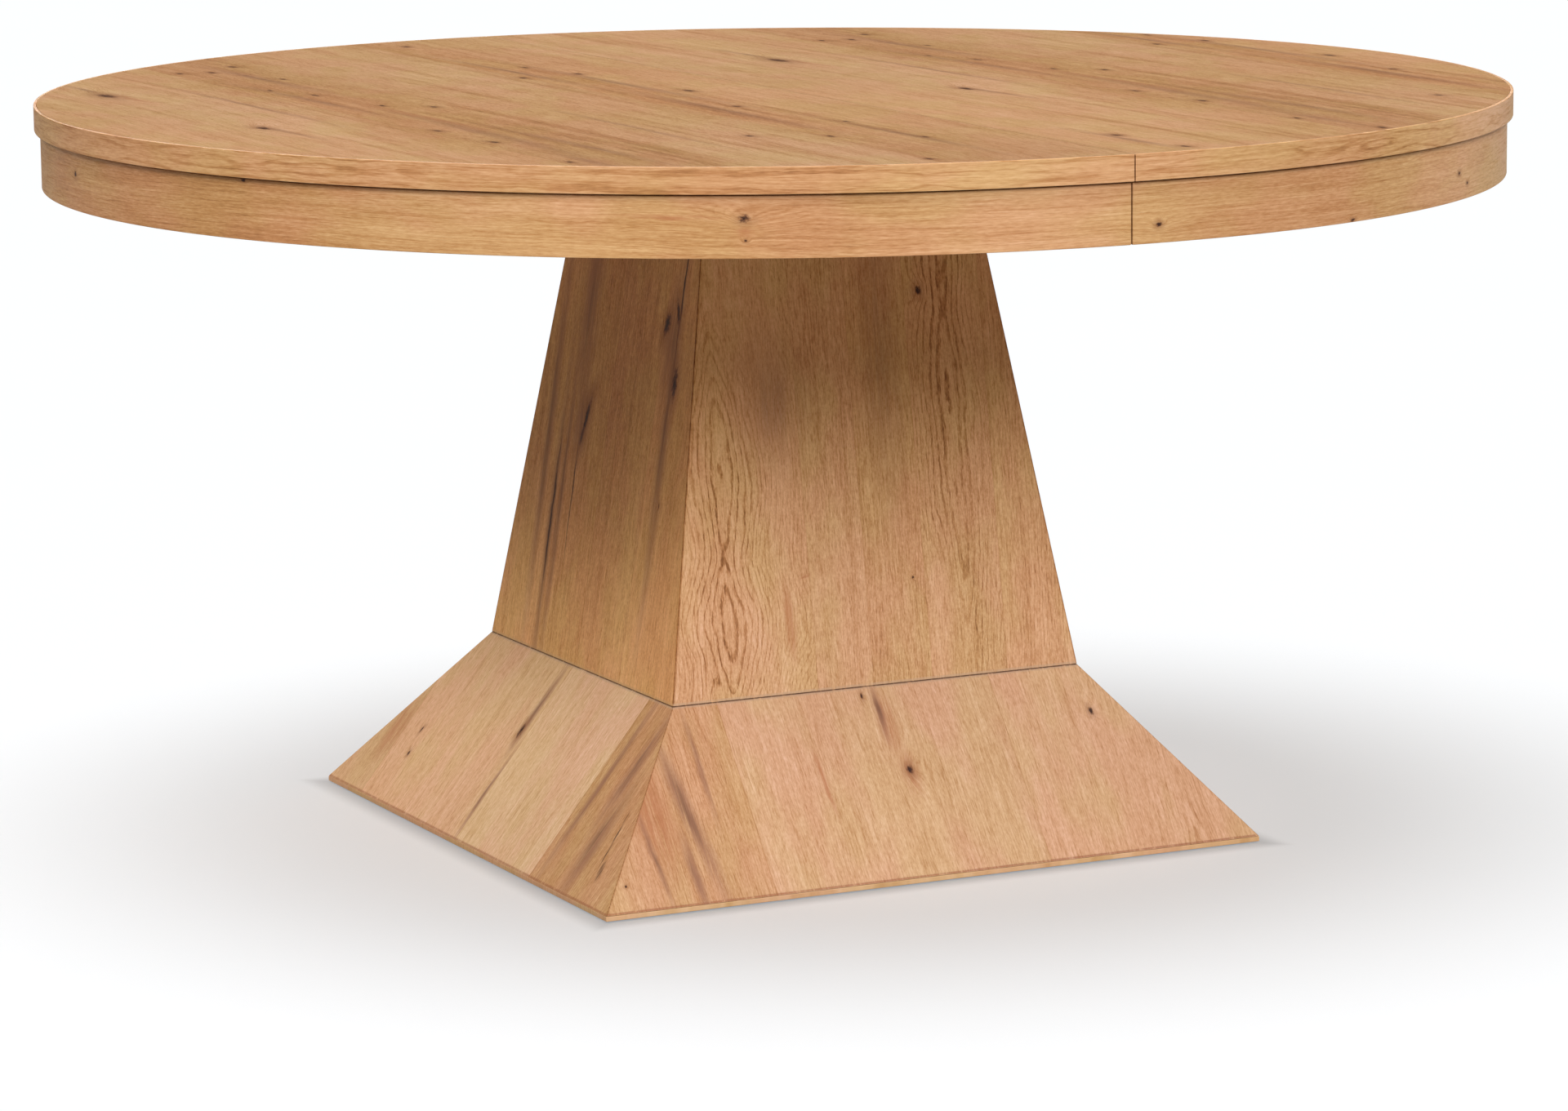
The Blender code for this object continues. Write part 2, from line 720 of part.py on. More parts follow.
def make_lock_base(where, y):
    """A plate on the left half with a riveted stud that the lever turns on."""
    top = UNDER_SLAB - LOCK_PLATE_THICKNESS / 2
    head_top = LEVER_Z[0] - GAP
    head_bottom = head_top - STUD_HEAD_HEIGHT
    plate = add_part(
        f"lock_base_{where}", lock_plate_mesh("lock_base", -1, y), STEEL, HALVES["left"]
    )
    profile = [
        (0, top),
        (STUD_RADIUS, top),
        (STUD_RADIUS, head_top),
        (STUD_HEAD, head_top),
        (STUD_HEAD, head_bottom),
        (0, head_bottom),
    ]
    stud = turned_mesh("lock_stud", profile, STUD_SEGMENTS)
    stud.transform(Matrix.Translation((LOCK_PIVOT_X, y, 0)))
    use_boolean(plate, add_cutter(f"lock_stud_{where}", stud), "UNION")


def polar(radius, degrees):
    angle = math.radians(degrees)
    return radius * math.cos(angle), radius * math.sin(angle)


def polar_arc(radius, start, end, steps):
    return arc(radius, math.radians(start), math.radians(end), steps)


def lever_outline():
    """A hook with a slot round the pivot, and a handle square to it."""
    slot_middle = KEEPER_PIN_X - LOCK_PIVOT_X
    clearance = KEEPER_PIN_RADIUS + LEVER_PIN_CLEARANCE
    inner = slot_middle - clearance
    outer = slot_middle + clearance
    rim = outer + LEVER_RIM_WIDTH
    outline = polar_arc(inner, 25, -13, 6)
    outline += polar_arc(outer, -13, 25, 6)
    outline += polar_arc(rim, 22, -25, 8)
    outline += [polar(inner, -25), polar(LEVER_HUB, -50)]
    outline += arc(LEVER_HANDLE_END, 0, -math.pi, 6, centre=(0, -LEVER_HANDLE_REACH))
    outline += polar_arc(LEVER_HUB, -130, -315, 8)
    return outline


def make_lever(where, y):
    bore = arc(STUD_RADIUS + LEVER_BORE_CLEARANCE, 0, 2 * math.pi, STUD_SEGMENTS)[:-1]
    pivot = add_empty(f"lock_axis_{where}", (LOCK_PIVOT_X, y, 0))
    mesh = prism_mesh(f"lock_lever_{where}", [lever_outline(), bore], *LEVER_Z)
    add_part(f"lock_lever_{where}", mesh, STEEL, pivot, Matrix.Rotation(LEVER_REST_ANGLE, 4, "Z"))


def make_dowels(slabs):
    """Dowels fixed in the left slab's seam edge, which enter holes in the right slab."""
    lie_along_x = Matrix.Rotation(math.pi / 2, 4, "Y")
    places = [Matrix.Translation((0, y, SLAB_MIDDLE)) @ lie_along_x for y in DOWEL_Y]
    reach = DOWEL_REACH
    profile = [(0, reach), (DOWEL_RADIUS, reach), (DOWEL_RADIUS, -reach), (0, -reach)]
    dowel = turned_mesh("alignment_dowel", profile, ROUND_SEGMENTS)
    for number, place in enumerate(places, 1):
        add_part(f"alignment_dowel_{number}", dowel, BEECH, HALVES["left"], place)
    fits = {"left": (DOWEL_RADIUS + GAP, reach + GAP), "right": (DOWEL_RADIUS + 0.0006, reach + 0.003)}
    for name, (radius, depth) in fits.items():
        holes = cylinder_cutter(f"dowel_holes_{name}", radius, -depth, depth, places)
        use_boolean(slabs[name], holes)


def make_half(name, side):
    slab = make_slab(name, side)
    make_rings(name, side)
    make_batten(name, side)
    for where, beam_y in BEAMS.items():
        make_rail(name, side, where, beam_y)
    make_rack(name, side)
    return slab


def main():
    cap = make_column()
    make_base()
    platform = make_platform(cap)
    make_beams()
    make_pinion(platform)
    slabs = {name: make_half(name, side) for name, side in SIDES.items()}
    make_dowels(slabs)
    for where, y in LOCKS.items():
        make_lock_base(where, y)
        make_keeper(where, y)
        make_lever(where, y)


main()
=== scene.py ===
"""Looks of the round split-top pedestal table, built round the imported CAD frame, in metres."""

import math

import bmesh
import bpy
from mathutils import Matrix, Vector


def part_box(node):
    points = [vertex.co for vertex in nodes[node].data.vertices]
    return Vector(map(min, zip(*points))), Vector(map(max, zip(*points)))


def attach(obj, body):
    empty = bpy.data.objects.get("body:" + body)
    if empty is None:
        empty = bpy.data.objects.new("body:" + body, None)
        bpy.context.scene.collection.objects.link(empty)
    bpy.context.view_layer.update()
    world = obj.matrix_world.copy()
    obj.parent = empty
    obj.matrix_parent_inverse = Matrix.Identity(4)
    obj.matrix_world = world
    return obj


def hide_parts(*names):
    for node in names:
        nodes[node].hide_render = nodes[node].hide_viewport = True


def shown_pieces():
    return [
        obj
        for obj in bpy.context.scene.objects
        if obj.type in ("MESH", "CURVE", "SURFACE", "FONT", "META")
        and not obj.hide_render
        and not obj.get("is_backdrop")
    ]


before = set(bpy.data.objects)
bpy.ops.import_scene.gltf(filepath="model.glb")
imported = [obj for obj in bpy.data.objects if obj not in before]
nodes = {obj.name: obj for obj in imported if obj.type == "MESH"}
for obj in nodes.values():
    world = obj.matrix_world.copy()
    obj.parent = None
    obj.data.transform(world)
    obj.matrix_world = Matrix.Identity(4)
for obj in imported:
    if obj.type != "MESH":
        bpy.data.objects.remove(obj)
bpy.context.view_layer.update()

SIDES = {"left": -1.0, "right": 1.0}


# ---------------------------------------------------------------- colours and shader graphs


def srgb(red, green, blue):
    """A display colour, 0 to 255 a channel, as the linear colour that a shader takes."""
    channels = []
    for value in (red, green, blue):
        share = value / 255.0
        channels.append(share / 12.92 if share <= 0.04045 else ((share + 0.055) / 1.055) ** 2.4)
    return (*channels, 1.0)


class Graph:
    """The node graph of one material. Each method adds nodes and returns an output socket."""

    def __init__(self, name):
        self.material = bpy.data.materials.new(name)
        self.material.use_nodes = True
        self.tree = self.material.node_tree
        self.shader = self.tree.nodes["Principled BSDF"]

    def node(self, kind, inputs, **settings):
        made = self.tree.nodes.new(kind)
        for key, value in settings.items():
            setattr(made, key, value)
        for key, value in inputs.items():
            self.feed(made.inputs[key], value)
        return made

    def feed(self, socket, value):
        if isinstance(value, bpy.types.NodeSocket):
            self.tree.links.new(value, socket)
        else:
            socket.default_value = value

    def math(self, operation, *values):
        return self.node("ShaderNodeMath", dict(enumerate(values)), operation=operation).outputs[0]

    def vector(self, operation, *values):
        made = self.node("ShaderNodeVectorMath", dict(enumerate(values)), operation=operation)
        return made.outputs["Value" if operation == "LENGTH" else "Vector"]

    def combine(self, x=0.0, y=0.0, z=0.0):
        return self.node("ShaderNodeCombineXYZ", {"X": x, "Y": y, "Z": z}).outputs[0]

    def separate(self, vector):
        return self.node("ShaderNodeSeparateXYZ", {0: vector}).outputs

    def noise(self, vector, scale, detail, roughness, distortion=0.0):
        """Noise from 0 to 1, with its own scale along each axis."""
        place = self.vector("MULTIPLY", vector, scale)
        inputs = {"Vector": place, "Scale": 1.0, "Detail": detail, "Roughness": roughness}
        inputs["Distortion"] = distortion
        return self.node("ShaderNodeTexNoise", inputs).outputs["Fac"]

    def fade(self, value, start, end, low=0.0, high=1.0):
        """Turns smoothly from low at start to high at end, and stays there."""
        inputs = {"Value": value, "From Min": start, "From Max": end, "To Min": low, "To Max": high}
        return self.node("ShaderNodeMapRange", inputs, interpolation_type="SMOOTHSTEP").outputs[0]

    def mix(self, share, first, second, blend="MIX"):
        made = self.node("ShaderNodeMix", {0: share, 6: first, 7: second}, data_type="RGBA")
        made.blend_type = blend
        return made.outputs[2]

    def ramp(self, value, stops, interpolation="LINEAR"):
        made = self.node("ShaderNodeValToRGB", {0: value})
        made.color_ramp.interpolation = interpolation
        elements = made.color_ramp.elements
        elements.remove(elements[1])
        elements[0].position, elements[0].color = stops[0]
        for position, colour in stops[1:]:
            elements.new(position).color = colour
        return made.outputs[0]

    def bump(self, height, distance, strength):
        inputs = {"Height": height, "Distance": distance, "Strength": strength}
        self.feed(self.shader.inputs["Normal"], self.node("ShaderNodeBump", inputs).outputs[0])

    def finish(self, colour, roughness, metallic=0.0, specular=0.5):
        self.feed(self.shader.inputs["Base Color"], colour)
        self.feed(self.shader.inputs["Roughness"], roughness)
        self.feed(self.shader.inputs["Metallic"], metallic)
        self.feed(self.shader.inputs["Specular IOR Level"], specular)
        return self.material

    def product(self, first, second):
        return self.math("MULTIPLY", first, second)

    def pointed(self, across, along):
        """Distance whose contours are ovals that come to a point at both ends."""
        side = self.vector("LENGTH", self.combine(across, OVAL_SIDE_ROUNDING, 0.0))
        end = self.vector("LENGTH", self.combine(along, OVAL_END_ROUNDING, 0.0))
        return self.math("SUBTRACT", self.math("ADD", side, end), OVAL_END_ROUNDING)

    def nearest(self, place, marks):
        """Distance to the closest mark, 1.0 on its outline.

        A mark is an ellipse on the face: (u, v, half width, half length[, lean in degrees]).
        """
        found = None
        for u, v, half_width, half_length, *lean in marks:
            inputs = {
                "Vector": place,
                "Location": (u, v, 0.0),
                "Rotation": (0.0, 0.0, math.radians(lean[0] if lean else 0.0)),
                "Scale": (half_width, half_length, 1.0),
            }
            local = self.node("ShaderNodeMapping", inputs, vector_type="TEXTURE").outputs[0]
            away = self.vector("LENGTH", local)
            found = away if found is None else self.math("MINIMUM", found, away)
        return found


# ---------------------------------------------------------------- oak

SHEET = 0.774  # the veneer sheet of the top, laid twice side by side
EDGE_RADIUS = 0.762
COLUMN_TOP_HALF = 0.1496
WAIST_HALF = 0.2312
COLUMN_MITRE, BASE_MITRE = 0.24, 0.09  # how dark the glue line at a panel's corner is
OVAL_SIDE_ROUNDING, OVAL_END_ROUNDING = 0.004, 0.012
SEED_STEP = 1.37  # between the noise of neighbouring planks
WANDER = 0.022  # how far the grain strays sideways
OVAL_MERGE = 0.014  # how softly the rings of two piths meet
KNOT_BEND, KNOT_BEND_REACH = 0.007, 3.4
WIDE_RINGS, WIDE_RINGS_REACH = 0.024, 0.034  # rings stand further apart near the pith

OAK = [
    (0.00, srgb(84, 50, 27)),
    (0.22, srgb(136, 90, 50)),
    (0.45, srgb(178, 129, 82)),
    (0.65, srgb(203, 160, 115)),
    (0.85, srgb(221, 182, 144)),
    (1.00, srgb(233, 200, 166)),
]
KNOT_CORE = srgb(50, 27, 18)
KNOT_RIM = srgb(92, 50, 30)
KNOT_HALO = srgb(138, 88, 52)
CRACK = srgb(50, 27, 16)
STREAK = srgb(148, 101, 72)
STREAK_HEART = srgb(104, 70, 48)
REDDISH = srgb(172, 108, 66)
# The dark line at the waist is painted shade: the shade in the narrow gap between the column and
# the base. The column's bands and the base's both draw it.
WAIST_GAP_SHADE = (0.17735, 0.0012, srgb(92, 58, 36))
WAIST_FILLER_AND_GAP_SHADE = [(0.1788, 0.0024, srgb(186, 150, 114)), WAIST_GAP_SHADE]
FOOT_AND_WAIST = [
    (0.0080, 0.0014, srgb(150, 92, 58)),
    (0.1764, 0.0018, srgb(184, 148, 112)),
    WAIST_GAP_SHADE,
]


def face_axes(g, grain):
    """(u, v, depth): across the grain, along it, and into the wood, in metres."""
    place = g.node("ShaderNodeTexCoord", {}).outputs["Object"]
    x, y, z = g.separate(place)
    if grain == "top":
        left_half = g.math("LESS_THAN", x, 0.0)
        return g.math("MULTIPLY_ADD", left_half, SHEET, x), y, z
    if grain == "ring":
        angle = g.math("ARCTAN2", x, g.product(y, -1.0))
        radius = g.vector("LENGTH", g.combine(x, y))
        return z, g.product(angle, EDGE_RADIUS), radius
    if grain == "along_x":
        return y, x, z
    if grain == "along_y":
        return x, y, z
    return (x, z, y) if grain == "facing_y" else (y, z, x)


def panel_corner(node, top_half, depth):
    """(half width at z = 0, gain per z, depth of the glue line) of a tapered panel's corners."""
    low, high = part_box(node)
    bottom_half = high.x
    gain = (top_half - bottom_half) / (high.z - low.z)
    return bottom_half - gain * low.z, gain, depth


def oak(
    name,
    grain,
    planks,
    knots=(),
    streaks=(),
    cracks=(),
    reddish=(),
    ovals=(),
    centres=(),
    drift=(),
    sweep=(),
    fibre=0.18,
    rings=0.09,
    lines=0.14,
    pitch=0.0042,
    patch=0.14,
    tint=(1.0, 1.0, 1.0, 1.0),
    pores=0.10,
    stretch=1.0,
    ribbons=0.04,
    roughness=0.48,
    joint=0.10,
    bands=(),
    rise=None,
    painted_shade_tint=(1.0, 1.0, 1.0, 1.0),
    stain=1.0,
    core_share=0.95,
    mitre=None,
):
    """Oiled oak veneer or board.

    planks: (where it starts, tone, pith u, pith v, squeeze) in order of u. The growth rings are
    pointed ovals round the pith, squeeze times as wide as long, so a far pith gives straight
    grain. knots, streaks, cracks and reddish are marks. ovals are marks with a height, which bend
    the rings round them. centres: (u, v, squeeze, offset), more piths in the plank they stand in.
    bands: (v, reach, colour) of level lines: stains, filler, and painted shade in a gap at a joint.
    drift and sweep: (place, change of tone) along u and v. rise: (from v, to v, change of tone),
    with the shade tint that takes over beyond it, is painted shade and bounce light on the upper
    part of a column panel, under the top. stain and core_share weigh the streaks and the knots.
    mitre: what panel_corner gives.
    """
    g = Graph(name)
    u, v, depth = face_axes(g, grain)

    # Each plank has its own pith and its own place in the noise.
    first = planks[0]
    pith = g.combine(first[2], first[3], first[4])
    own = g.combine(first[1], 0.0, 0.0)
    away = None
    for before, after in zip(planks, planks[1:]):
        past = g.math("GREATER_THAN", u, after[0])
        step = g.combine(past, past, past)
        change = tuple(after[i] - before[i] for i in (2, 3, 4))
        pith = g.vector("MULTIPLY_ADD", step, change, pith)
        own = g.vector("MULTIPLY_ADD", step, (after[1] - before[1], SEED_STEP, 0.0), own)
        gap = g.math("ABSOLUTE", g.math("SUBTRACT", u, after[0]))
        away = gap if away is None else g.math("MINIMUM", away, gap)
    tone, seed, _ = g.separate(own)
    pith_u, pith_v, squeeze = g.separate(pith)

    # Slow wander of the grain, and a place on the face with ragged edges for the marks.
    whole = g.combine(u, v, seed)
    wander = g.noise(whole, (5.0, 1.3, 1.0), 2.0, 0.5)
    wander = g.math("SUBTRACT", wander, 0.5)
    ragged = g.noise(whole, (70.0, 28.0, 1.0), 3.0, 0.6)
    ragged = g.math("MULTIPLY_ADD", ragged, 0.007, -0.0035)
    ragged_u = g.math("ADD", u, ragged)
    ragged_u = g.math("MULTIPLY_ADD", wander, 0.008, ragged_u)
    on_face = g.combine(ragged_u, g.math("MULTIPLY_ADD", ragged, 1.5, v), 0.0)

    near_knot = g.nearest(on_face, knots) if knots else None

    # Growth rings.
    across = g.math("MULTIPLY_ADD", wander, WANDER, g.math("SUBTRACT", u, pith_u))
    along = g.product(g.math("SUBTRACT", v, pith_v), squeeze)
    warp = g.math("MULTIPLY_ADD", g.noise(whole, (24.0, 9.0, 1.0), 2.0, 0.5), 0.024, -0.012)
    ring = g.pointed(across, along)
    for centre_u, centre_v, centre_squeeze, offset in centres:
        starts = [plank[0] for plank in planks] + [planks[-1][0] + 1.0]
        pairs = zip(starts, starts[1:])
        start, end = next(pair for pair in pairs if pair[0] <= centre_u < pair[1])
        gap = g.math("ABSOLUTE", g.math("SUBTRACT", u, (start + end) / 2))
        outside = g.math("GREATER_THAN", gap, (end - start) / 2)
        across = g.math("MULTIPLY_ADD", wander, WANDER, g.math("SUBTRACT", u, centre_u))
        along = g.product(g.math("SUBTRACT", v, centre_v), centre_squeeze)
        near = g.math("ADD", g.pointed(across, along), offset)
        ring = g.math("SMOOTH_MIN", ring, g.math("ADD", near, outside), OVAL_MERGE)
    ring = g.math("ADD", ring, warp)
    bend = 0.0
    for *mark, height in ovals:
        near = g.nearest(on_face, [mark])
        bend = g.math("ADD", bend, g.fade(near, 0.0, 1.6, height, 0.0))
    if knots:
        bend = g.math("ADD", bend, g.fade(near_knot, 0.0, KNOT_BEND_REACH, KNOT_BEND, 0.0))
    ring = g.math("ADD", ring, bend)
    ring_place = g.combine(ring, g.product(v, 0.006), g.product(seed, 0.1))
    band = g.noise(ring_place, (170.0, 170.0, 1.0), 3.0, 0.6)
    phase = g.math("MULTIPLY_ADD", band, 1.1, g.math("DIVIDE", ring, pitch))
    wide_apart = g.math("EXPONENT", g.math("DIVIDE", ring, -WIDE_RINGS_REACH))
    phase = g.math("MULTIPLY_ADD", wide_apart, WIDE_RINGS / pitch, phase)
    jagged = g.noise(whole, (150.0, 55.0 / stretch, 1.0), 3.0, 0.65)
    phase = g.math("MULTIPLY_ADD", jagged, 0.6, phase)
    saw = g.math("FRACT", phase)
    line = g.product(g.fade(saw, 0.52, 0.80), g.fade(saw, 0.84, 0.97, 1.0, 0.0))
    line_patch = g.noise(whole, (9.0, 2.2, 1.0), 2.0, 0.6)
    line = g.product(line, g.fade(line_patch, 0.30, 0.62))
    dash = g.noise(whole, (260.0, 75.0 / stretch, 1.0), 2.0, 0.6)
    line = g.product(line, g.fade(dash, 0.36, 0.56, 0.3))
    line = g.product(line, g.fade(ring, 0.018, 0.060, 1.0, 0.35))

    # Fibre, pores and slow patches.
    fibre_u = g.math("MULTIPLY_ADD", bend, 0.6, g.math("MULTIPLY_ADD", wander, WANDER, u))
    fibre_place = g.combine(fibre_u, v, g.math("ADD", seed, g.product(depth, 6.0)))
    fine = g.noise(fibre_place, (560.0, 34.0 / stretch, 1.0), 4.0, 0.68)
    strand = g.noise(fibre_place, (120.0, 2.6, 1.0), 3.0, 0.6)
    ribbon = g.fade(g.noise(fibre_place, (42.0, 1.1, 1.0), 4.0, 0.62), 0.48, 0.72)
    pore = g.noise(fibre_place, (980.0, 92.0 / stretch, 1.0), 1.5, 0.5)
    fleck = g.fade(pore, 0.42, 0.30)
    pore = g.fade(pore, 0.53, 0.66)
    speck = g.noise(whole, (640.0, 300.0 / stretch, 1.0), 2.0, 0.6)
    cloud = g.noise(whole, (3.4, 1.1, 1.0), 2.0, 0.5)
    figure = g.noise(whole, (46.0, 17.0, 1.0), 3.0, 0.6, 0.6)

    shade = tone
    weights = [
        (cloud, patch),
        (strand, 1.2 * fibre),
        (fine, 2.5 * fibre),
        (speck, 2.0 * fibre),
        (band, rings),
        (figure, 0.9 * patch),
    ]
    for value, weight in weights:
        shade = g.math("ADD", shade, g.math("MULTIPLY_ADD", value, weight, -0.5 * weight))
    shade = g.math("MULTIPLY_ADD", line, -lines, shade)
    shade = g.math("MULTIPLY_ADD", pore, -pores, shade)
    shade = g.math("MULTIPLY_ADD", fleck, 0.5 * pores, shade)
    shade = g.math("MULTIPLY_ADD", ribbon, -ribbons, shade)
    for position, changes in ((u, drift), (v, sweep)):
        if changes:
            low, high = changes[0][0], changes[-1][0]
            stops = []
            for at, change in changes:
                level = 0.5 + change
                stops.append(((at - low) / (high - low), (level, level, level, 1.0)))
            share = g.node("ShaderNodeMapRange", {0: position, 1: low, 2: high}).outputs[0]
            change = g.ramp(share, stops, "EASE")
            shade = g.math("ADD", shade, g.math("SUBTRACT", change, 0.5))
    # Painted shade and bounce light: the tone changes by rise[2] between heights rise[0] and
    # rise[1], on the upper part of a column panel, which the top shades.
    if rise is not None:
        shade = g.math("ADD", shade, g.fade(v, rise[0], rise[1], 0.0, rise[2]))
    if away is not None:
        shade = g.math("SUBTRACT", shade, g.fade(away, 0.0002, 0.0012, joint, 0.0))
    if mitre is not None:
        half_at_foot, gain, dark = mitre
        corner = g.math("MULTIPLY_ADD", v, gain, half_at_foot)
        gap = g.math("ABSOLUTE", g.math("SUBTRACT", g.math("ABSOLUTE", u), corner))
        shade = g.math("SUBTRACT", shade, g.fade(gap, 0.0004, 0.0022, dark, 0.0))
    colour = g.ramp(shade, OAK)
    warmth = g.noise(whole, (2.1, 0.9, 1.0), 1.0, 0.5)
    colour = g.mix(g.fade(warmth, 0.3, 0.7), colour, (1.0, 0.95, 0.88, 1.0), "MULTIPLY")
    blush = g.noise(whole, (15.0, 7.0, 1.0), 2.0, 0.55)
    colour = g.mix(g.fade(blush, 0.38, 0.62), colour, (1.02, 0.95, 0.96, 1.0), "MULTIPLY")
    colour = g.mix(g.fade(blush, 0.62, 0.36), colour, (0.99, 1.0, 0.90, 1.0), "MULTIPLY")

    # Marks, from soft stains to bark, and the painted shade of the waist gap.
    broken = g.noise(fibre_place, (260.0, 10.0, 1.0), 4.0, 0.7)
    if reddish:
        near = g.nearest(on_face, reddish)
        share = g.product(g.fade(near, 0.1, 1.2, 0.75, 0.0), g.fade(broken, 0.25, 0.6))
        colour = g.mix(share, colour, REDDISH)
    # Level bands: stain and filler lines, and the painted shade in the gap at the waist.
    for centre, reach, stain_and_shade in bands:
        apart = g.math("ABSOLUTE", g.math("SUBTRACT", v, centre))
        share = g.product(g.fade(apart, 0.2 * reach, reach, 0.7, 0.0), g.fade(dash, 0.2, 0.5))
        colour = g.mix(share, colour, stain_and_shade)
    if streaks:
        near = g.nearest(on_face, streaks)
        share = g.product(g.fade(near, 0.0, 1.3, 0.9 * stain, 0.0), g.fade(broken, 0.18, 0.58))
        colour = g.mix(share, colour, STREAK)
        share = g.product(g.fade(near, 0.0, 0.6, 0.6 * stain, 0.0), g.fade(strand, 0.4, 0.6))
        colour = g.mix(share, colour, STREAK_HEART)
    if cracks:
        near = g.nearest(on_face, cracks)
        share = g.product(g.fade(near, 0.15, 1.1, 1.0, 0.0), g.fade(broken, 0.30, 0.52))
        colour = g.mix(share, colour, CRACK)
    if knots:
        halo = g.product(g.fade(near_knot, 0.6, 2.6, 0.55, 0.0), g.fade(strand, 0.3, 0.6, 0.3))
        colour = g.mix(halo, colour, KNOT_HALO)
        check = g.noise(whole, (380.0, 210.0, 1.0), 3.0, 0.7)
        core = g.math("MULTIPLY_ADD", check, 1.5, near_knot)
        colour = g.mix(g.fade(core, 1.15, 1.75, 0.85, 0.0), colour, KNOT_RIM)
        colour = g.mix(g.fade(core, 0.90, 1.35, core_share, 0.0), colour, KNOT_CORE)

    # Painted colour of that shade and bounce light: the tint turns into the shade tint over the
    # same heights.
    if rise is not None:
        tint = g.mix(g.fade(v, rise[0], rise[1]), tint, painted_shade_tint)
    colour = g.mix(1.0, colour, tint, "MULTIPLY")

    height = g.math("MULTIPLY_ADD", pore, -0.8, g.product(fine, 0.5))
    g.bump(height, 0.00025, 0.35)
    gloss = g.math("MULTIPLY_ADD", fine, 0.10, roughness - 0.05)
    return g.finish(colour, g.math("MULTIPLY_ADD", pore, 0.12, gloss), specular=0.25)


# Marks are in metres on the face, (u, v, ...): the top's are (x on its sheet, y), the panels'
# (x or y, z), and the ring's (z, arc from the front).

TOP_KNOTS = [
    (0.148, 0.294, 0.010, 0.030),
    (0.169, -0.109, 0.007, 0.018),
    (0.380, 0.544, 0.0048, 0.010),
    (0.301, 0.496, 0.0036, 0.009),
    (0.336, 0.490, 0.0048, 0.010),
    (0.374, 0.375, 0.0036, 0.009),
    (0.337, 0.186, 0.0048, 0.012),
    (0.315, 0.259, 0.0036, 0.007),
    (0.354, 0.042, 0.0036, 0.009),
    (0.394, 0.003, 0.0048, 0.010),
    (0.303, -0.224, 0.0048, 0.010),
    (0.309, -0.350, 0.0048, 0.012),
    (0.299, -0.553, 0.0036, 0.009),
    (0.322, -0.672, 0.0048, 0.010),
    (0.641, 0.679, 0.0048, 0.010),
    (0.651, 0.364, 0.0036, 0.009),
    (0.669, 0.262, 0.0048, 0.010),
    (0.599, 0.250, 0.0048, 0.010),
    (0.689, 0.024, 0.0060, 0.015),
    (0.659, -0.154, 0.0048, 0.010),
    (0.683, -0.350, 0.0036, 0.009),
    (0.541, -0.427, 0.0048, 0.010),
    (0.606, -0.469, 0.0036, 0.009),
    (0.680, -0.521, 0.0036, 0.009),
    (0.592, -0.700, 0.0048, 0.010),
    (0.070, -0.602, 0.0048, 0.012),
    (0.074, -0.725, 0.0048, 0.010),
]
TOP_STREAKS = [
    (0.312, 0.150, 0.010, 0.260, 1.2),
    (0.335, -0.260, 0.014, 0.330, -1.0),
    (0.355, 0.390, 0.012, 0.240, 0.8),
    (0.368, -0.420, 0.008, 0.260, 0.6),
    (0.318, -0.560, 0.009, 0.120, -0.8),
    (0.618, 0.300, 0.010, 0.300, 0.5),
    (0.630, -0.180, 0.013, 0.300, -0.7),
    (0.662, 0.120, 0.011, 0.360, 0.9),
    (0.676, -0.480, 0.010, 0.260, -0.6),
    (0.176, -0.170, 0.006, 0.090, 2.0),
    (0.150, 0.380, 0.007, 0.110, 1.0),
    (0.060, -0.640, 0.008, 0.140, 1.0),
    (0.240, 0.100, 0.006, 0.300, 0.6),
    (0.480, -0.300, 0.006, 0.240, -0.6),
]
oak_top = oak(
    "oak_top",
    "top",
    planks=[
        (-0.010, 0.585, -0.700, -1.9, 0.035),
        (0.290, 0.545, -0.300, 1.6, 0.030),
        (0.600, 0.545, -0.500, 1.5, 0.035),
    ],
    knots=TOP_KNOTS,
    streaks=TOP_STREAKS,
    reddish=[(0.160, 0.240, 0.006, 0.050, 3.0), (0.345, -0.10, 0.010, 0.20, 1.0)],
    ovals=[(0.148, 0.300, 0.030, 0.090, 0.030), (0.169, -0.115, 0.022, 0.060, 0.022)],
    drift=[
        (0.00, 0.03),
        (0.20, 0.05),
        (0.29, -0.02),
        (0.38, 0.00),
        (0.45, 0.07),
        (0.57, 0.06),
        (0.62, -0.02),
        (0.70, 0.03),
        (0.78, 0.05),
    ],
    stain=0.6,
    core_share=0.6,
    pores=0.05,
    stretch=1.6,
    ribbons=0.15,
    patch=0.24,
    pitch=0.0055,
    lines=0.11,
    joint=0.05,
    roughness=0.43,
    tint=(0.88, 0.925, 1.04, 1.0),
)

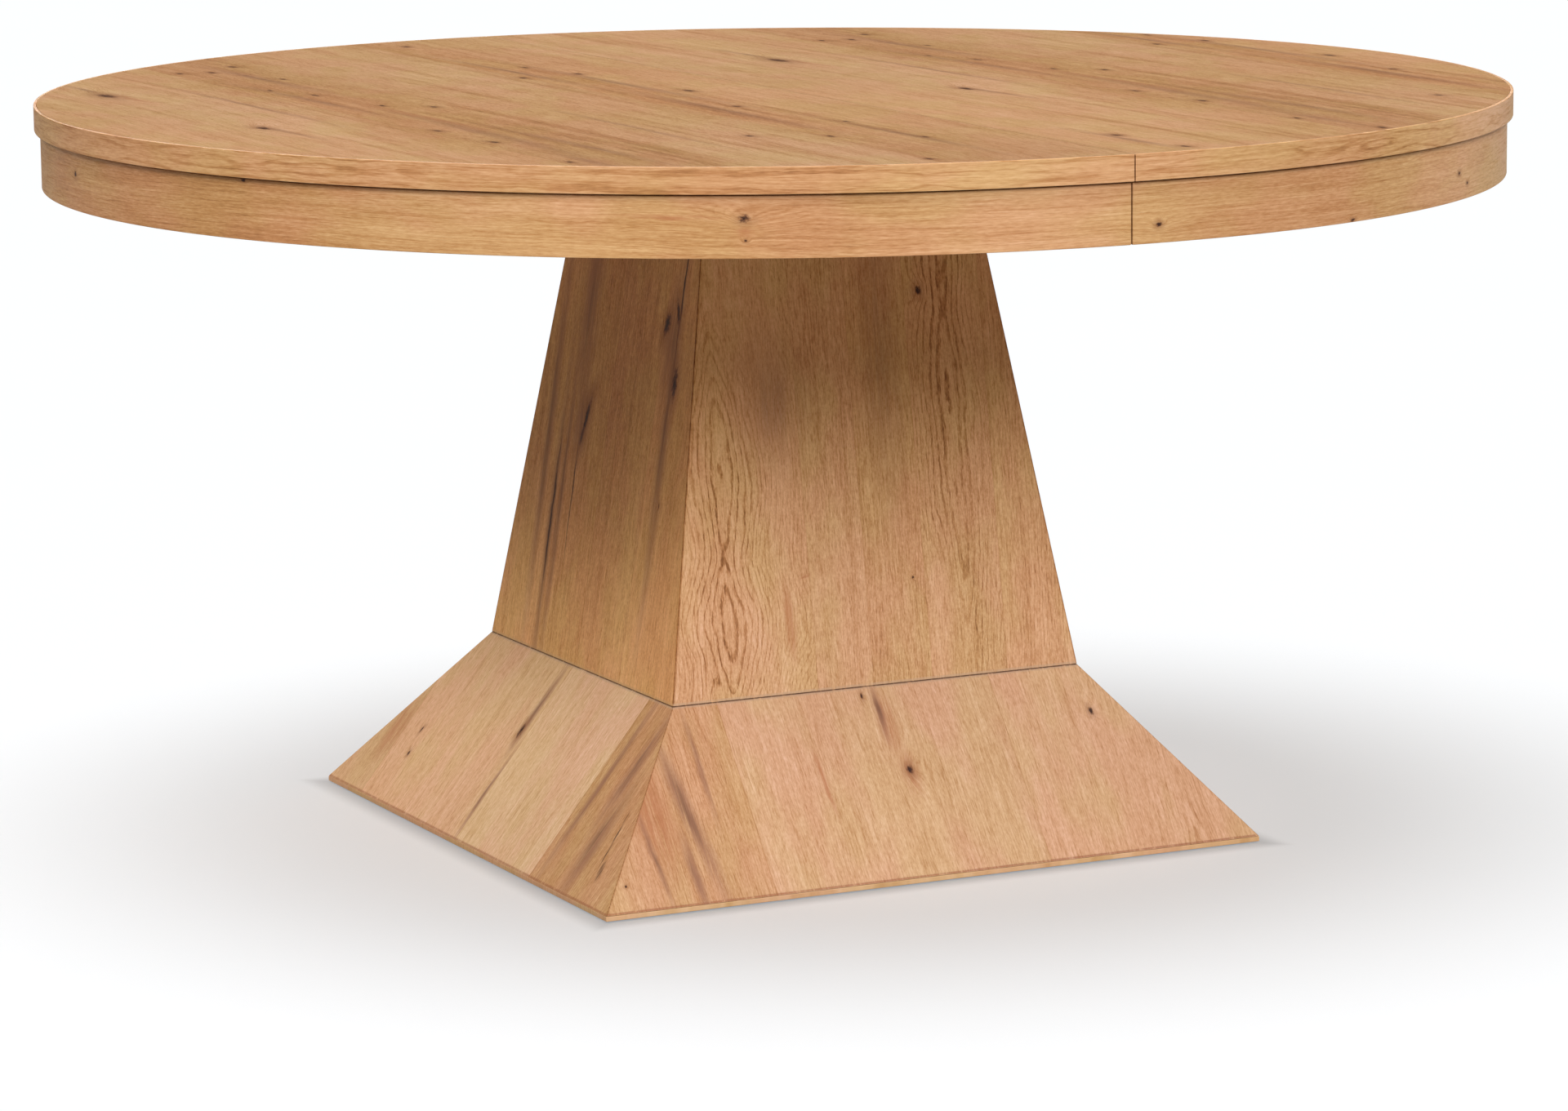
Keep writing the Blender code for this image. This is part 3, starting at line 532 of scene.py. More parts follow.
RING_KNOTS = [
    (0.7215, -0.3705, 0.0045, 0.0070),
    (0.7010, -0.3700, 0.0018, 0.0022),
    (0.7017, 0.0290, 0.0028, 0.0040),
    (0.7200, -1.2155, 0.0040, 0.0060),
    (0.7390, -0.8937, 0.0022, 0.0040),
    (0.7110, 0.4881, 0.0028, 0.0040),
    (0.7000, 0.5120, 0.0022, 0.0034),
    (0.6870, 0.2766, 0.0020, 0.0034),
    (0.7160, 1.2400, 0.0034, 0.0060),
    (0.7050, 1.8200, 0.0040, 0.0060),
    (0.7190, -1.7600, 0.0036, 0.0050),
]
oak_apron = oak(
    "oak_apron",
    "ring",
    planks=[(0.6, 0.55, 0.62, -0.9, 0.020)],
    knots=RING_KNOTS,
    ovals=[(0.7215, -0.3705, 0.012, 0.045, 0.012), (0.7017, 0.0290, 0.008, 0.030, 0.008)],
    reddish=[(0.722, -0.44, 0.003, 0.060, 1.0), (0.709, -0.3705, 0.006, 0.010)],
    sweep=[
        (-1.30, -0.04),
        (-0.93, -0.07),
        (-0.60, 0.05),
        (-0.33, 0.00),
        (-0.13, 0.09),
        (0.20, 0.00),
        (0.55, 0.12),
        (0.86, 0.17),
        (1.20, 0.04),
    ],
    tint=(0.98, 1.025, 1.12, 1.0),
    lines=0.18,
    pitch=0.0045,
    pores=0.05,
    stretch=3.0,
)
oak_edge = oak(
    "oak_edge",
    "ring",
    planks=[(0.6, 0.57, 0.7545, -0.36, 0.022)],
    sweep=[
        (-1.30, -0.03),
        (-0.85, -0.02),
        (-0.35, -0.02),
        (-0.13, 0.08),
        (0.25, 0.02),
        (0.58, 0.16),
        (0.80, 0.02),
        (1.20, 0.00),
    ],
    tint=(0.98, 1.03, 1.10, 1.0),
    fibre=0.17,
    lines=0.20,
    pitch=0.0040,
    pores=0.05,
    stretch=3.5,
)

COLUMN_CORNER = panel_corner("column_panel_front", COLUMN_TOP_HALF, COLUMN_MITRE)
BASE_CORNER = panel_corner("base_panel_front", WAIST_HALF, BASE_MITRE)

column_front = oak(
    "oak_column_front",
    "facing_y",
    planks=[
        (-0.30, 0.64, -0.156, 0.395, 0.26),
        (-0.068, 0.62, -0.400, 0.400, 0.030),
        (-0.005, 0.585, -0.260, 0.900, 0.020),
        (0.0625, 0.62, 0.105, 0.418, 0.13),
        (0.150, 0.61, 0.420, 0.300, 0.040),
    ],
    knots=[(0.080, 0.570, 0.0050, 0.0065), (0.048, 0.281, 0.0014, 0.0016)],
    centres=[
        (-0.160, 0.252, 0.42, -0.006),
        (0.108, 0.610, 0.30, 0.006),
        (-0.180, 0.150, 0.30, 0.010),
    ],
    streaks=[(0.030, 0.530, 0.030, 0.200), (-0.095, 0.470, 0.050, 0.080)],
    stain=0.45,
    reddish=[(-0.093, 0.250, 0.008, 0.048, 2.0), (-0.074, 0.292, 0.008, 0.0016, 20.0)],
    bands=WAIST_FILLER_AND_GAP_SHADE,
    fibre=0.19,
    pores=0.12,
    lines=0.36,
    joint=0.05,
    # Painted light up the panel: a little lighter and warmer towards the top, where the top shades
    # the column and warm bounce light fills the shade.
    rise=(0.20, 0.55, 0.03),
    tint=(1.03, 1.09, 1.28, 1.0),
    painted_shade_tint=(1.14, 1.10, 1.00, 1.0),
    mitre=COLUMN_CORNER,
)
column_left = oak(
    "oak_column_left",
    "facing_x",
    planks=[
        (-0.30, 0.60, -0.40, 0.30, 0.030),
        (-0.100, 0.60, -0.30, 0.40, 0.020),
        (0.0075, 0.60, 0.34, 0.30, 0.040),
    ],
    knots=[
        (-0.105, 0.545, 0.0075, 0.0160, 20.0),
        (-0.126, 0.560, 0.0046, 0.0180, -20.0),
        (-0.1375, 0.490, 0.0075, 0.0220),
        (0.060, 0.430, 0.0060, 0.0260, 20.0),
        (-0.1375, 0.366, 0.0020, 0.0026),
    ],
    cracks=[
        (-0.1325, 0.580, 0.0022, 0.110, 1.0),
        (0.067, 0.412, 0.0034, 0.018, 14.0),
        (0.0725, 0.345, 0.0020, 0.080),
        (0.1175, 0.330, 0.0030, 0.130),
        (0.081, 0.655, 0.0030, 0.070),
    ],
    streaks=[
        (0.1175, 0.290, 0.010, 0.240),
        (0.100, 0.340, 0.009, 0.220),
        (0.084, 0.560, 0.028, 0.180),
        (0.070, 0.425, 0.026, 0.055),
        (0.150, 0.420, 0.012, 0.260),
        (-0.130, 0.440, 0.013, 0.240),
        (-0.120, 0.530, 0.020, 0.070),
    ],
    bands=WAIST_FILLER_AND_GAP_SHADE,
    lines=0.08,
    fibre=0.22,
    patch=0.18,
    drift=[(-0.22, 0.04), (-0.10, 0.06), (0.00, 0.00), (0.05, 0.00), (0.15, 0.05), (0.23, 0.03)],
    # Painted shade up the panel: darker and a deeper golden brown towards the top, where the top
    # shades it.
    rise=(0.18, 0.50, -0.11),
    tint=(1.20, 1.14, 0.95, 1.0),
    painted_shade_tint=(1.16, 1.06, 0.80, 1.0),
    mitre=COLUMN_CORNER,
)
column_right = oak(
    "oak_column_right",
    "facing_x",
    planks=[
        (-0.30, 0.62, -0.150, 0.300, 0.120),
        (-0.052, 0.58, -0.40, 0.60, 0.030),
        (0.088, 0.62, 0.150, 0.520, 0.110),
    ],
    knots=[(0.121, 0.330, 0.0050, 0.0080), (-0.110, 0.560, 0.0040, 0.0060)],
    streaks=[(0.030, 0.400, 0.006, 0.200), (0.070, 0.300, 0.005, 0.140)],
    bands=WAIST_FILLER_AND_GAP_SHADE,
    lines=0.28,
    pitch=0.0048,
    mitre=COLUMN_CORNER,
)
column_back = oak(
    "oak_column_back",
    "facing_y",
    planks=[
        (-0.30, 0.60, -0.42, 0.500, 0.040),
        (-0.090, 0.63, -0.020, 0.480, 0.120),
        (0.070, 0.60, 0.34, 0.30, 0.040),
    ],
    knots=[(0.105, 0.470, 0.0050, 0.0080), (-0.120, 0.300, 0.0030, 0.0050)],
    cracks=[(0.107, 0.400, 0.0020, 0.060)],
    streaks=[(0.110, 0.420, 0.010, 0.130), (-0.160, 0.360, 0.006, 0.180)],
    bands=WAIST_FILLER_AND_GAP_SHADE,
    lines=0.26,
    pitch=0.0048,
    mitre=COLUMN_CORNER,
)
base_front = oak(
    "oak_base_front",
    "facing_y",
    planks=[
        (-0.40, 0.59, -0.60, 0.10, 0.030),
        (-0.183, 0.665, 0.620, 0.10, 0.030),
        (0.126, 0.68, 0.300, -0.20, 0.120),
    ],
    knots=[
        (0.003, 0.101, 0.0048, 0.0052),
        (0.229, 0.134, 0.0036, 0.0040),
        (-0.024, 0.169, 0.0018, 0.0034),
        (-0.340, 0.030, 0.0016, 0.0016),
    ],
    streaks=[
        (-0.250, 0.085, 0.011, 0.090, 10.0),
        (-0.262, 0.030, 0.007, 0.045, 2.0),
        (-0.300, 0.050, 0.004, 0.050, 6.0),
        (-0.222, 0.120, 0.004, 0.060),
        (-0.010, 0.155, 0.006, 0.030),
    ],
    reddish=[
        (0.002, 0.098, 0.013, 0.026),
        (-0.094, 0.098, 0.0028, 0.040, 4.0),
        (-0.004, 0.145, 0.014, 0.036),
        (-0.290, 0.090, 0.030, 0.070, 8.0),
    ],
    ovals=[(0.003, 0.101, 0.016, 0.024, 0.014), (0.229, 0.134, 0.012, 0.018, 0.010)],
    bands=FOOT_AND_WAIST,
    lines=0.18,
    tint=(0.92, 0.965, 1.18, 1.0),
    mitre=BASE_CORNER,
)
base_left = oak(
    "oak_base_left",
    "facing_x",
    planks=[
        (-0.40, 0.53, -0.50, 0.20, 0.030),
        (-0.178, 0.72, -0.60, 0.10, 0.030),
        (0.013, 0.68, 0.72, 0.20, 0.030),
        (0.275, 0.62, 0.84, 0.10, 0.030),
    ],
    knots=[
        (0.029, 0.110, 0.0050, 0.0085),
        (0.237, 0.076, 0.0028, 0.0040, 20.0),
        (0.231, 0.054, 0.0028, 0.0030, 30.0),
    ],
    streaks=[
        (0.026, 0.135, 0.009, 0.055),
        (0.016, 0.050, 0.005, 0.060),
        (-0.258, 0.055, 0.018, 0.065, -2.0),
        (-0.238, 0.120, 0.014, 0.070),
        (-0.196, 0.100, 0.008, 0.110),
    ],
    cracks=[(-0.290, 0.062, 0.0020, 0.032, -14.0), (-0.304, 0.036, 0.0050, 0.012, -20.0)],
    reddish=[(0.290, 0.070, 0.020, 0.040)],
    bands=FOOT_AND_WAIST,
    lines=0.12,
    # The tint is lighter than the other base panels': partly painted light, which brings this face
    # up to the front one's brightness.
    tint=(1.04, 1.13, 1.33, 1.0),
    mitre=BASE_CORNER,
)
base_right = oak(
    "oak_base_right",
    "facing_x",
    planks=[
        (-0.40, 0.63, -0.55, 0.10, 0.030),
        (-0.110, 0.66, 0.520, 0.10, 0.030),
        (0.165, 0.61, 0.50, 0.10, 0.040),
    ],
    knots=[(0.060, 0.090, 0.0044, 0.0060), (-0.210, 0.120, 0.0030, 0.0040)],
    streaks=[(0.230, 0.080, 0.008, 0.080, 2.0), (-0.140, 0.060, 0.004, 0.060)],
    bands=FOOT_AND_WAIST,
    tint=(0.94, 0.985, 1.19, 1.0),
    lines=0.10,
    mitre=BASE_CORNER,
)
base_back = oak(
    "oak_base_back",
    "facing_y",
    planks=[
        (-0.40, 0.65, -0.60, 0.10, 0.030),
        (-0.070, 0.61, -0.30, 0.10, 0.030),
        (0.205, 0.65, 0.700, 0.10, 0.030),
    ],
    knots=[(-0.130, 0.060, 0.0040, 0.0060), (0.120, 0.120, 0.0034, 0.0050)],
    streaks=[(0.030, 0.090, 0.007, 0.070, -2.0), (-0.250, 0.060, 0.005, 0.060)],
    bands=FOOT_AND_WAIST,
    tint=(0.94, 0.985, 1.19, 1.0),
    lines=0.10,
    mitre=BASE_CORNER,
)


# ---------------------------------------------------------------- hidden woods, metal and plastic


def plain_wood(name, grain, light, dark, rings=55.0, fleck=0.0, roughness=0.62):
    """Sawn secondary wood: soft growth bands, fibre, and a fleck where the kind has one."""
    g = Graph(name)
    u, v, depth = face_axes(g, grain)
    place = g.combine(u, v, depth)
    wander = g.noise(place, (4.0, 1.2, 4.0), 2.0, 0.5)
    warped = g.combine(g.math("MULTIPLY_ADD", wander, 0.05, u), g.product(v, 0.04), depth)
    band = g.noise(warped, (rings, rings, rings), 3.0, 0.6)
    fine = g.noise(place, (700.0, 10.0, 700.0), 3.0, 0.6)
    share = g.math("MULTIPLY_ADD", fine, 0.35, g.product(band, 0.75))
    colour = g.mix(g.fade(share, 0.3, 0.8), light, dark)
    if fleck:
        spots = g.noise(place, (420.0, 46.0, 420.0), 1.0, 0.5)
        colour = g.mix(g.fade(spots, 0.62, 0.72, 0.0, fleck), colour, dark)
    g.bump(fine, 0.0003, 0.3)
    return g.finish(colour, g.math("MULTIPLY_ADD", fine, 0.12, roughness), specular=0.3)


PLY_PAIR = 0.0028  # a light ply and a dark one


def plywood(name):
    """Ply with a rotary-cut face; its edges show the plies, which lie flat in z."""
    g = Graph(name)
    u, v, depth = face_axes(g, "along_y")
    place = g.combine(u, v, depth)
    wander = g.noise(place, (2.5, 0.8, 2.5), 3.0, 0.5)
    ring = g.math("MULTIPLY_ADD", wander, 0.22, g.product(u, 0.35))
    band = g.noise(g.combine(ring, g.product(v, 0.03), 0.0), (60.0, 60.0, 1.0), 3.0, 0.6)
    fine = g.noise(place, (500.0, 12.0, 500.0), 3.0, 0.6)
    colour = g.mix(g.fade(band, 0.3, 0.7), srgb(214, 184, 146), srgb(190, 152, 110))
    ply = g.math("FRACT", g.math("DIVIDE", depth, PLY_PAIR))
    normal = g.node("ShaderNodeNewGeometry", {}).outputs["True Normal"]
    upright = g.math("ABSOLUTE", g.separate(normal)[2])
    dark_ply = g.fade(ply, 0.45, 0.55, 0.0, 0.6)
    on_edge = g.fade(upright, 0.3, 0.7, 1.0, 0.0)
    colour = g.mix(g.product(dark_ply, on_edge), colour, srgb(158, 116, 78))
    colour = g.mix(g.fade(fine, 0.3, 0.8, 0.0, 0.35), colour, srgb(170, 130, 90))
    g.bump(fine, 0.0003, 0.3)
    return g.finish(colour, g.math("MULTIPLY_ADD", fine, 0.12, 0.6), specular=0.3)


def steel(name):
    """Zinc-plated steel with a fine, cloudy grain."""
    g = Graph(name)
    place = g.node("ShaderNodeTexCoord", {}).outputs["Object"]
    cloud = g.noise(place, (90.0, 90.0, 90.0), 3.0, 0.6)
    grit = g.noise(place, (1800.0, 1800.0, 300.0), 2.0, 0.6)
    colour = g.mix(cloud, srgb(178, 180, 182), srgb(150, 150, 148))
    g.bump(grit, 0.0001, 0.3)
    return g.finish(colour, g.math("MULTIPLY_ADD", cloud, 0.20, 0.26), metallic=1.0)


def nylon(name):
    """Natural moulded nylon with a spark-eroded texture."""
    g = Graph(name)
    place = g.node("ShaderNodeTexCoord", {}).outputs["Object"]
    grit = g.noise(place, (1500.0, 1500.0, 1500.0), 2.0, 0.6)
    cloud = g.noise(place, (60.0, 60.0, 60.0), 2.0, 0.5)
    colour = g.mix(cloud, srgb(232, 230, 220), srgb(222, 219, 207))
    g.bump(grit, 0.0002, 0.4)
    return g.finish(colour, g.math("MULTIPLY_ADD", grit, 0.15, 0.42), specular=0.4)


RUBBERWOOD = (srgb(216, 186, 144), srgb(186, 146, 102))
BEECH = (srgb(218, 178, 138), srgb(188, 142, 104))
batten_wood = plain_wood("batten_wood", "along_y", *RUBBERWOOD)
post_wood = plain_wood("post_wood", "facing_y", *RUBBERWOOD)
beech_wood = plain_wood("beech_wood", "along_x", *BEECH, rings=80.0, fleck=0.7, roughness=0.5)
ply_board = plywood("ply_board")
zinc_steel = steel("zinc_steel")
pale_nylon = nylon("pale_nylon")


# ---------------------------------------------------------------- meshes

SHARP_ANGLE = math.radians(30.0)
HALF_ARC_STEPS = 256  # four times the CAD's
TOP_SEAM = 0.0007  # half the gap between the two halves
APRON_SEAM = 0.0009
APRON_THICKNESS = 0.018
REVEAL = 0.0012  # shadow gap over the apron
GLUE_LINE = 0.0001


def add_piece(name, mesh, material, body, replaced=(), bevel=0.0):
    """Makes a mesh a piece on a CAD body. bevel rounds its edges; material may be a list."""
    piece = bpy.data.objects.new(name, mesh)
    bpy.context.scene.collection.objects.link(piece)
    for one in material if isinstance(material, list) else [material]:
        mesh.materials.append(one)
    if bevel:
        ease_edges(piece, bevel)
    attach(piece, body)
    if replaced:
        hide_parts(*replaced)


def ease_edges(piece, width):
    """Rounds the piece's sharp edges, as sanding does."""
    made = piece.modifiers.new("eased_edges", "BEVEL")
    made.width = width
    made.segments = 2
    made.limit_method = "ANGLE"
    made.angle_limit = SHARP_ANGLE
    made.use_clamp_overlap = True
    made.harden_normals = True


def mesh_from(name, points, faces):
    mesh = bpy.data.meshes.new(name)
    mesh.from_pydata(points, [], faces)
    work = bmesh.new()
    work.from_mesh(mesh)
    bmesh.ops.recalc_face_normals(work, faces=work.faces)
    work.to_mesh(mesh)
    work.free()
    for face in mesh.polygons:
        face.use_smooth = True
    mesh.set_sharp_from_angle(angle=SHARP_ANGLE)
    return mesh


def half_arc(side, radius, seam):
    """Points of a half circle from the front seam to the back one, kept clear of the seam plane."""
    points = []
    for step in range(HALF_ARC_STEPS + 1):
        angle = math.pi * step / HALF_ARC_STEPS
        x = max(radius * math.sin(angle), seam)
        points.append((side * x, -radius * math.cos(angle)))
    return points


def half_ring(name, side, inner, outer, low, high, seam):
    """A half ring of rectangular section."""
    rails = []
    for radius, z in ((inner, low), (outer, low), (outer, high), (inner, high)):
        rails.append([(x, y, z) for x, y in half_arc(side, radius, seam)])
    points = [point for rail in rails for point in rail]
    count = len(rails[0])
    faces = []
    for rail in range(4):
        after = (rail + 1) % 4
        for step in range(count - 1):
            here, there = rail * count + step, after * count + step
            faces.append((here, here + 1, there + 1, there))
    faces.append(tuple(rail * count for rail in range(4)))
    faces.append(tuple(rail * count + count - 1 for rail in reversed(range(4))))
    return mesh_from(name, points, faces)


def half_slab(name, side, radius, low, high, seam):
    """A half disc. Its top face is material 0 and the rest is material 1."""
    arc = half_arc(side, radius, seam)
    count = len(arc)
    points = [(x, y, low) for x, y in arc] + [(x, y, high) for x, y in arc]
    faces = [tuple(range(count)), tuple(reversed(range(count, 2 * count)))]
    for step in range(count):
        after = (step + 1) % count
        faces.append((step, after, after + count, step + count))
    mesh = mesh_from(name, points, faces)
    for face in mesh.polygons:
        face.material_index = 0 if face.normal.z > 0.5 else 1
    return mesh


def widest(low, high):
    """The radius of a half disc or half ring, from its box."""
    return max(abs(low.x), abs(high.x))


# The top: slab, lipping and apron of each half.
for side_name, side in SIDES.items():
    body = side_name + "_half"
    low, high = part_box("tabletop_" + side_name)
    slab_radius = widest(low, high)
    name = "veneered_top_" + side_name
    mesh = half_slab(name, side, slab_radius, low.z, high.z, TOP_SEAM)
    add_piece(name, mesh, [oak_top, ply_board], body, ["tabletop_" + side_name])

    low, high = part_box("edge_band_" + side_name)
    name = "lipping_" + side_name
    inner = slab_radius + GLUE_LINE
    mesh = half_ring(name, side, inner, widest(low, high), low.z, high.z, TOP_SEAM)
    add_piece(name, mesh, oak_edge, body, ["edge_band_" + side_name], 0.0007)

    low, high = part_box("apron_" + side_name)
    name = "apron_ring_" + side_name
    outer = widest(low, high)
    inner = outer - APRON_THICKNESS
    mesh = half_ring(name, side, inner, outer, low.z, high.z - REVEAL, APRON_SEAM)
    add_piece(name, mesh, oak_apron, body, ["apron_" + side_name], 0.0007)


# ---------------------------------------------------------------- CAD nodes that stay


WELD_REACH = 0.00002


def dress(name, material, bevel):
    """Gives a CAD node its material and sanded edges, as modifiers on its own mesh."""
    node = nodes[name]
    node.data.materials.clear()
    node.data.materials.append(material)
    weld = node.modifiers.new("weld", "WELD")
    weld.merge_threshold = WELD_REACH
    ease_edges(node, bevel)


PANELS = {
    "column_panel_front": column_front,
    "column_panel_left": column_left,
    "column_panel_right": column_right,
    "column_panel_back": column_back,
    "base_panel_front": base_front,
    "base_panel_left": base_left,
    "base_panel_right": base_right,
    "base_panel_back": base_back,
}
for name, material in PANELS.items():
    dress(name, material, 0.0005)

plinth_oak = oak(
    "oak_plinth",
    "along_x",
    planks=[(-0.5, 0.74, -0.9, 0.0, 0.02)],
    fibre=0.10,
    lines=0.05,
    stretch=3.0,
    tint=(1.0, 1.03, 1.12, 1.0),
)
dress("plinth_board", plinth_oak, 0.0006)

OTHER_LOOKS = [
    (("slide_rail", "rack_carrier", "centre_beam"), beech_wood, 0.0006),
    (("alignment_dowel",), beech_wood, 0.0003),
    (("end_batten",), batten_wood, 0.0006),
    (("column_post",), post_wood, 0.0006),
    (("mounting_platform", "column_cap", "waist_deck", "base_rib"), ply_board, 0.0006),
    (("pinion_gear", "rack_left", "rack_right"), pale_nylon, 0.0002),
    (("floor_glide",), pale_nylon, 0.0004),
    (("lock_", "pinion_axle", "pinion_washer", "platform_screw"), zinc_steel, 0.0003),
]
for name in nodes:
    for starts, material, bevel in OTHER_LOOKS:
        if name.startswith(starts):
            dress(name, material, bevel)


# ---------------------------------------------------------------- glue blocks and screws


def loft(rings):
    """(points, faces) of a closed skin through rings of equal length, capped at both ends."""
    count = len(rings[0])
    points = [point for ring in rings for point in ring]
    faces = [tuple(reversed(range(count)))]
    for index in range(len(rings) - 1):
        here, there = index * count, (index + 1) * count
        for step in range(count):
            after = (step + 1) % count
            faces.append((here + step, here + after, there + after, there + step))
    faces.append(tuple(range(len(points) - count, len(points))))
    return points, faces


BLOCK_HALF_LENGTH = 0.015
BLOCK_SECTION = [(0.0, 0.0), (0.0, -0.026), (-0.005, -0.026), (-0.024, -0.006), (-0.024, 0.0)]
BLOCK_ANGLES = (-84, -60, -30, 0, 30, 60, 84)
BLOCK_GAP = 0.0006  # between a block and the apron's inner face
RACK_SCREW_INSET = 0.006  # from the back edge of the rack
LOCK_PLATE_DEPTH = 0.0021  # from the top of a lock's plate to the face its screws show on


def glue_block(name, angle, face_radius, top, body):
    """A wedge glued in the corner of apron and slab. Angle 0 points along +X."""
    out = Vector((math.cos(angle), math.sin(angle), 0.0))
    beside = Vector((-out.y, out.x, 0.0))
    rings = []
    for along in (-BLOCK_HALF_LENGTH, BLOCK_HALF_LENGTH):
        foot = beside * along + Vector((0, 0, top))
        rings.append([foot + out * (face_radius + r) + Vector((0, 0, z)) for r, z in BLOCK_SECTION])
    mesh = mesh_from(name, *loft(rings))
    add_piece(name, mesh, post_wood, body, bevel=0.0006)


SCREW_STEPS = 20


def screw_rings(place, radius, height):
    """Rings of a low domed head below a face, with a square drive recess."""
    x, y, z = place

    def circle(reach, drop):
        turns = [math.tau * (step + 0.5) / SCREW_STEPS for step in range(SCREW_STEPS)]
        return [(x + reach * math.cos(t), y - reach * math.sin(t), z - drop) for t in turns]

    def square(reach, drop):
        ring = []
        for cx, cy, _ in circle(1.0, drop):
            dx, dy = cx - x, cy - y
            grow = reach / max(abs(dx), abs(dy))
            ring.append((x + dx * grow, y + dy * grow, z - drop))
        return ring

    return [
        circle(radius, 0.0),
        circle(radius, 0.35 * height),
        circle(0.86 * radius, 0.80 * height),
        circle(0.62 * radius, height),
        square(0.34 * radius, height),
        square(0.32 * radius, 0.35 * height),
    ]


def screws(name, places, body, radius, height):
    """Screw heads that hang from level faces, as one piece."""
    points, faces = [], []
    for place in places:
        more, skin = loft(screw_rings(place, radius, height))
        faces += [tuple(corner + len(points) for corner in face) for face in skin]
        points += more
    add_piece(name, mesh_from(name, points, faces), zinc_steel, body)


for side_name, side in SIDES.items():
    body = side_name + "_half"
    low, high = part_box("apron_" + side_name)
    face_radius = widest(low, high) - APRON_THICKNESS - BLOCK_GAP
    for number, angle in enumerate(BLOCK_ANGLES, 1):
        turned = math.radians(angle if side > 0 else 180 - angle)
        glue_block(f"glue_block_{side_name}_{number}", turned, face_radius, high.z, body)

    places = []
    for end in ("front", "rear"):
        low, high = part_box(f"slide_rail_{side_name}_{end}")
        for along in (0.34, 0.46, 0.58):
            places.append((side * along, (low.y + high.y) / 2, low.z))
    low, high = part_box("end_batten_" + side_name)
    for share in (0.1, 0.5, 0.9):
        places.append(((low.x + high.x) / 2, low.y + share * (high.y - low.y), low.z))
    screws("frame_screws_" + side_name, places, body, 0.0040, 0.0013)

    low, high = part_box("rack_" + side_name)
    screw_y = high.y - RACK_SCREW_INSET if low.y + high.y > 0 else low.y + RACK_SCREW_INSET
    shares = (0.06, 0.5, 0.94)
    places = [(low.x + share * (high.x - low.x), screw_y, low.z) for share in shares]
    low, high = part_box("rack_carrier_" + side_name)
    for along in (0.30, 0.16):
        places.append((side * along, (low.y + high.y) / 2, low.z))
    screws("rack_screws_" + side_name, places, body, 0.0030, 0.0011)

for end in ("front", "rear"):
    for plate, body, share in (("base", "left_half", 0.12), ("keeper", "right_half", 0.88)):
        low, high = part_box(f"lock_{plate}_{end}")
        x, y = low.x + share * (high.x - low.x), (low.y + high.y) / 2
        plate_face = high.z - LOCK_PLATE_DEPTH
        places = [(x, y + offset, plate_face) for offset in (-0.013, 0.013)]
        screws(f"lock_{plate}_screws_{end}", places, body, 0.0030, 0.0010)

low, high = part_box("mounting_platform")
places = []
for beam in ("centre_beam_front", "centre_beam_rear"):
    beam_low, beam_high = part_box(beam)
    for along in (-0.24, -0.09, 0.09, 0.24):
        places.append((along, (beam_low.y + beam_high.y) / 2, low.z))
screws("beam_screws", places, "pedestal", 0.0045, 0.0018)


# ---------------------------------------------------------------- stage, lights and camera


def sun_light(name, azimuth, elevation, softness, strength, lit=None, shadow=True):
    """Soft directional studio light. Azimuth 0 shines from the front and 90 from the left.

    softness is the sun's angle. lit is the collection it lights, or None for everything.
    """
    data = bpy.data.lights.new(name, "SUN")
    data.angle = math.radians(softness)
    data.energy = strength * math.pi
    light = bpy.data.objects.new(name, data)
    bpy.context.scene.collection.objects.link(light)
    turn, rise = math.radians(azimuth), math.radians(elevation)
    flat = math.cos(rise)
    back = Vector((-math.sin(turn) * flat, -math.cos(turn) * flat, math.sin(rise)))
    light.rotation_euler = back.to_track_quat("Z", "Y").to_euler()
    if not shadow:
        data.use_shadow = False
        data.cycles.max_bounces = 0
    if lit is not None:
        light.light_linking.receiver_collection = lit


def collect(name, members):
    made = bpy.data.collections.new(name)
    for member in members:
        made.objects.link(member)
    return made


WORLD_COLOUR = (1.0, 0.84, 0.64, 1.0)
WORLD_STRENGTH = 0.18
FLOOR_HALF = 40.0
FLOOR_COLOURS = ((0.895, 0.935, 0.98, 1.0), (0.905, 0.945, 0.99, 1.0))
CONTACT_COLOUR = (0.12, 0.11, 0.11, 1.0)
CONTACT_REACH, CONTACT_DEPTH = 0.030, 0.34

world = bpy.data.worlds.new("studio")
world.use_nodes = True
background = world.node_tree.nodes["Background"]
background.inputs["Color"].default_value = WORLD_COLOUR
background.inputs["Strength"].default_value = WORLD_STRENGTH
bpy.context.scene.world = world

floor_graph = Graph("studio_floor")
floor_place = floor_graph.node("ShaderNodeTexCoord", {}).outputs["Object"]
floor_cloud = floor_graph.noise(floor_place, (1.5, 1.5, 1.5), 2.0, 0.5)
floor_colour = floor_graph.mix(floor_cloud, *FLOOR_COLOURS)

# The narrow contact shadow beside the plinth, which lights this soft don't draw.
floor_x, floor_y, _ = floor_graph.separate(floor_place)
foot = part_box("plinth_board")[1]
outside = [
    floor_graph.math("SUBTRACT", floor_graph.math("ABSOLUTE", place), half)
    for place, half in ((floor_x, foot.x), (floor_y, foot.y))
]
outside = floor_graph.math("MAXIMUM", *outside)
contact = floor_graph.fade(outside, 0.0, CONTACT_REACH, CONTACT_DEPTH, 0.0)
floor_colour = floor_graph.mix(contact, floor_colour, CONTACT_COLOUR)
floor_graph.finish(floor_colour, 0.9, specular=0.1)

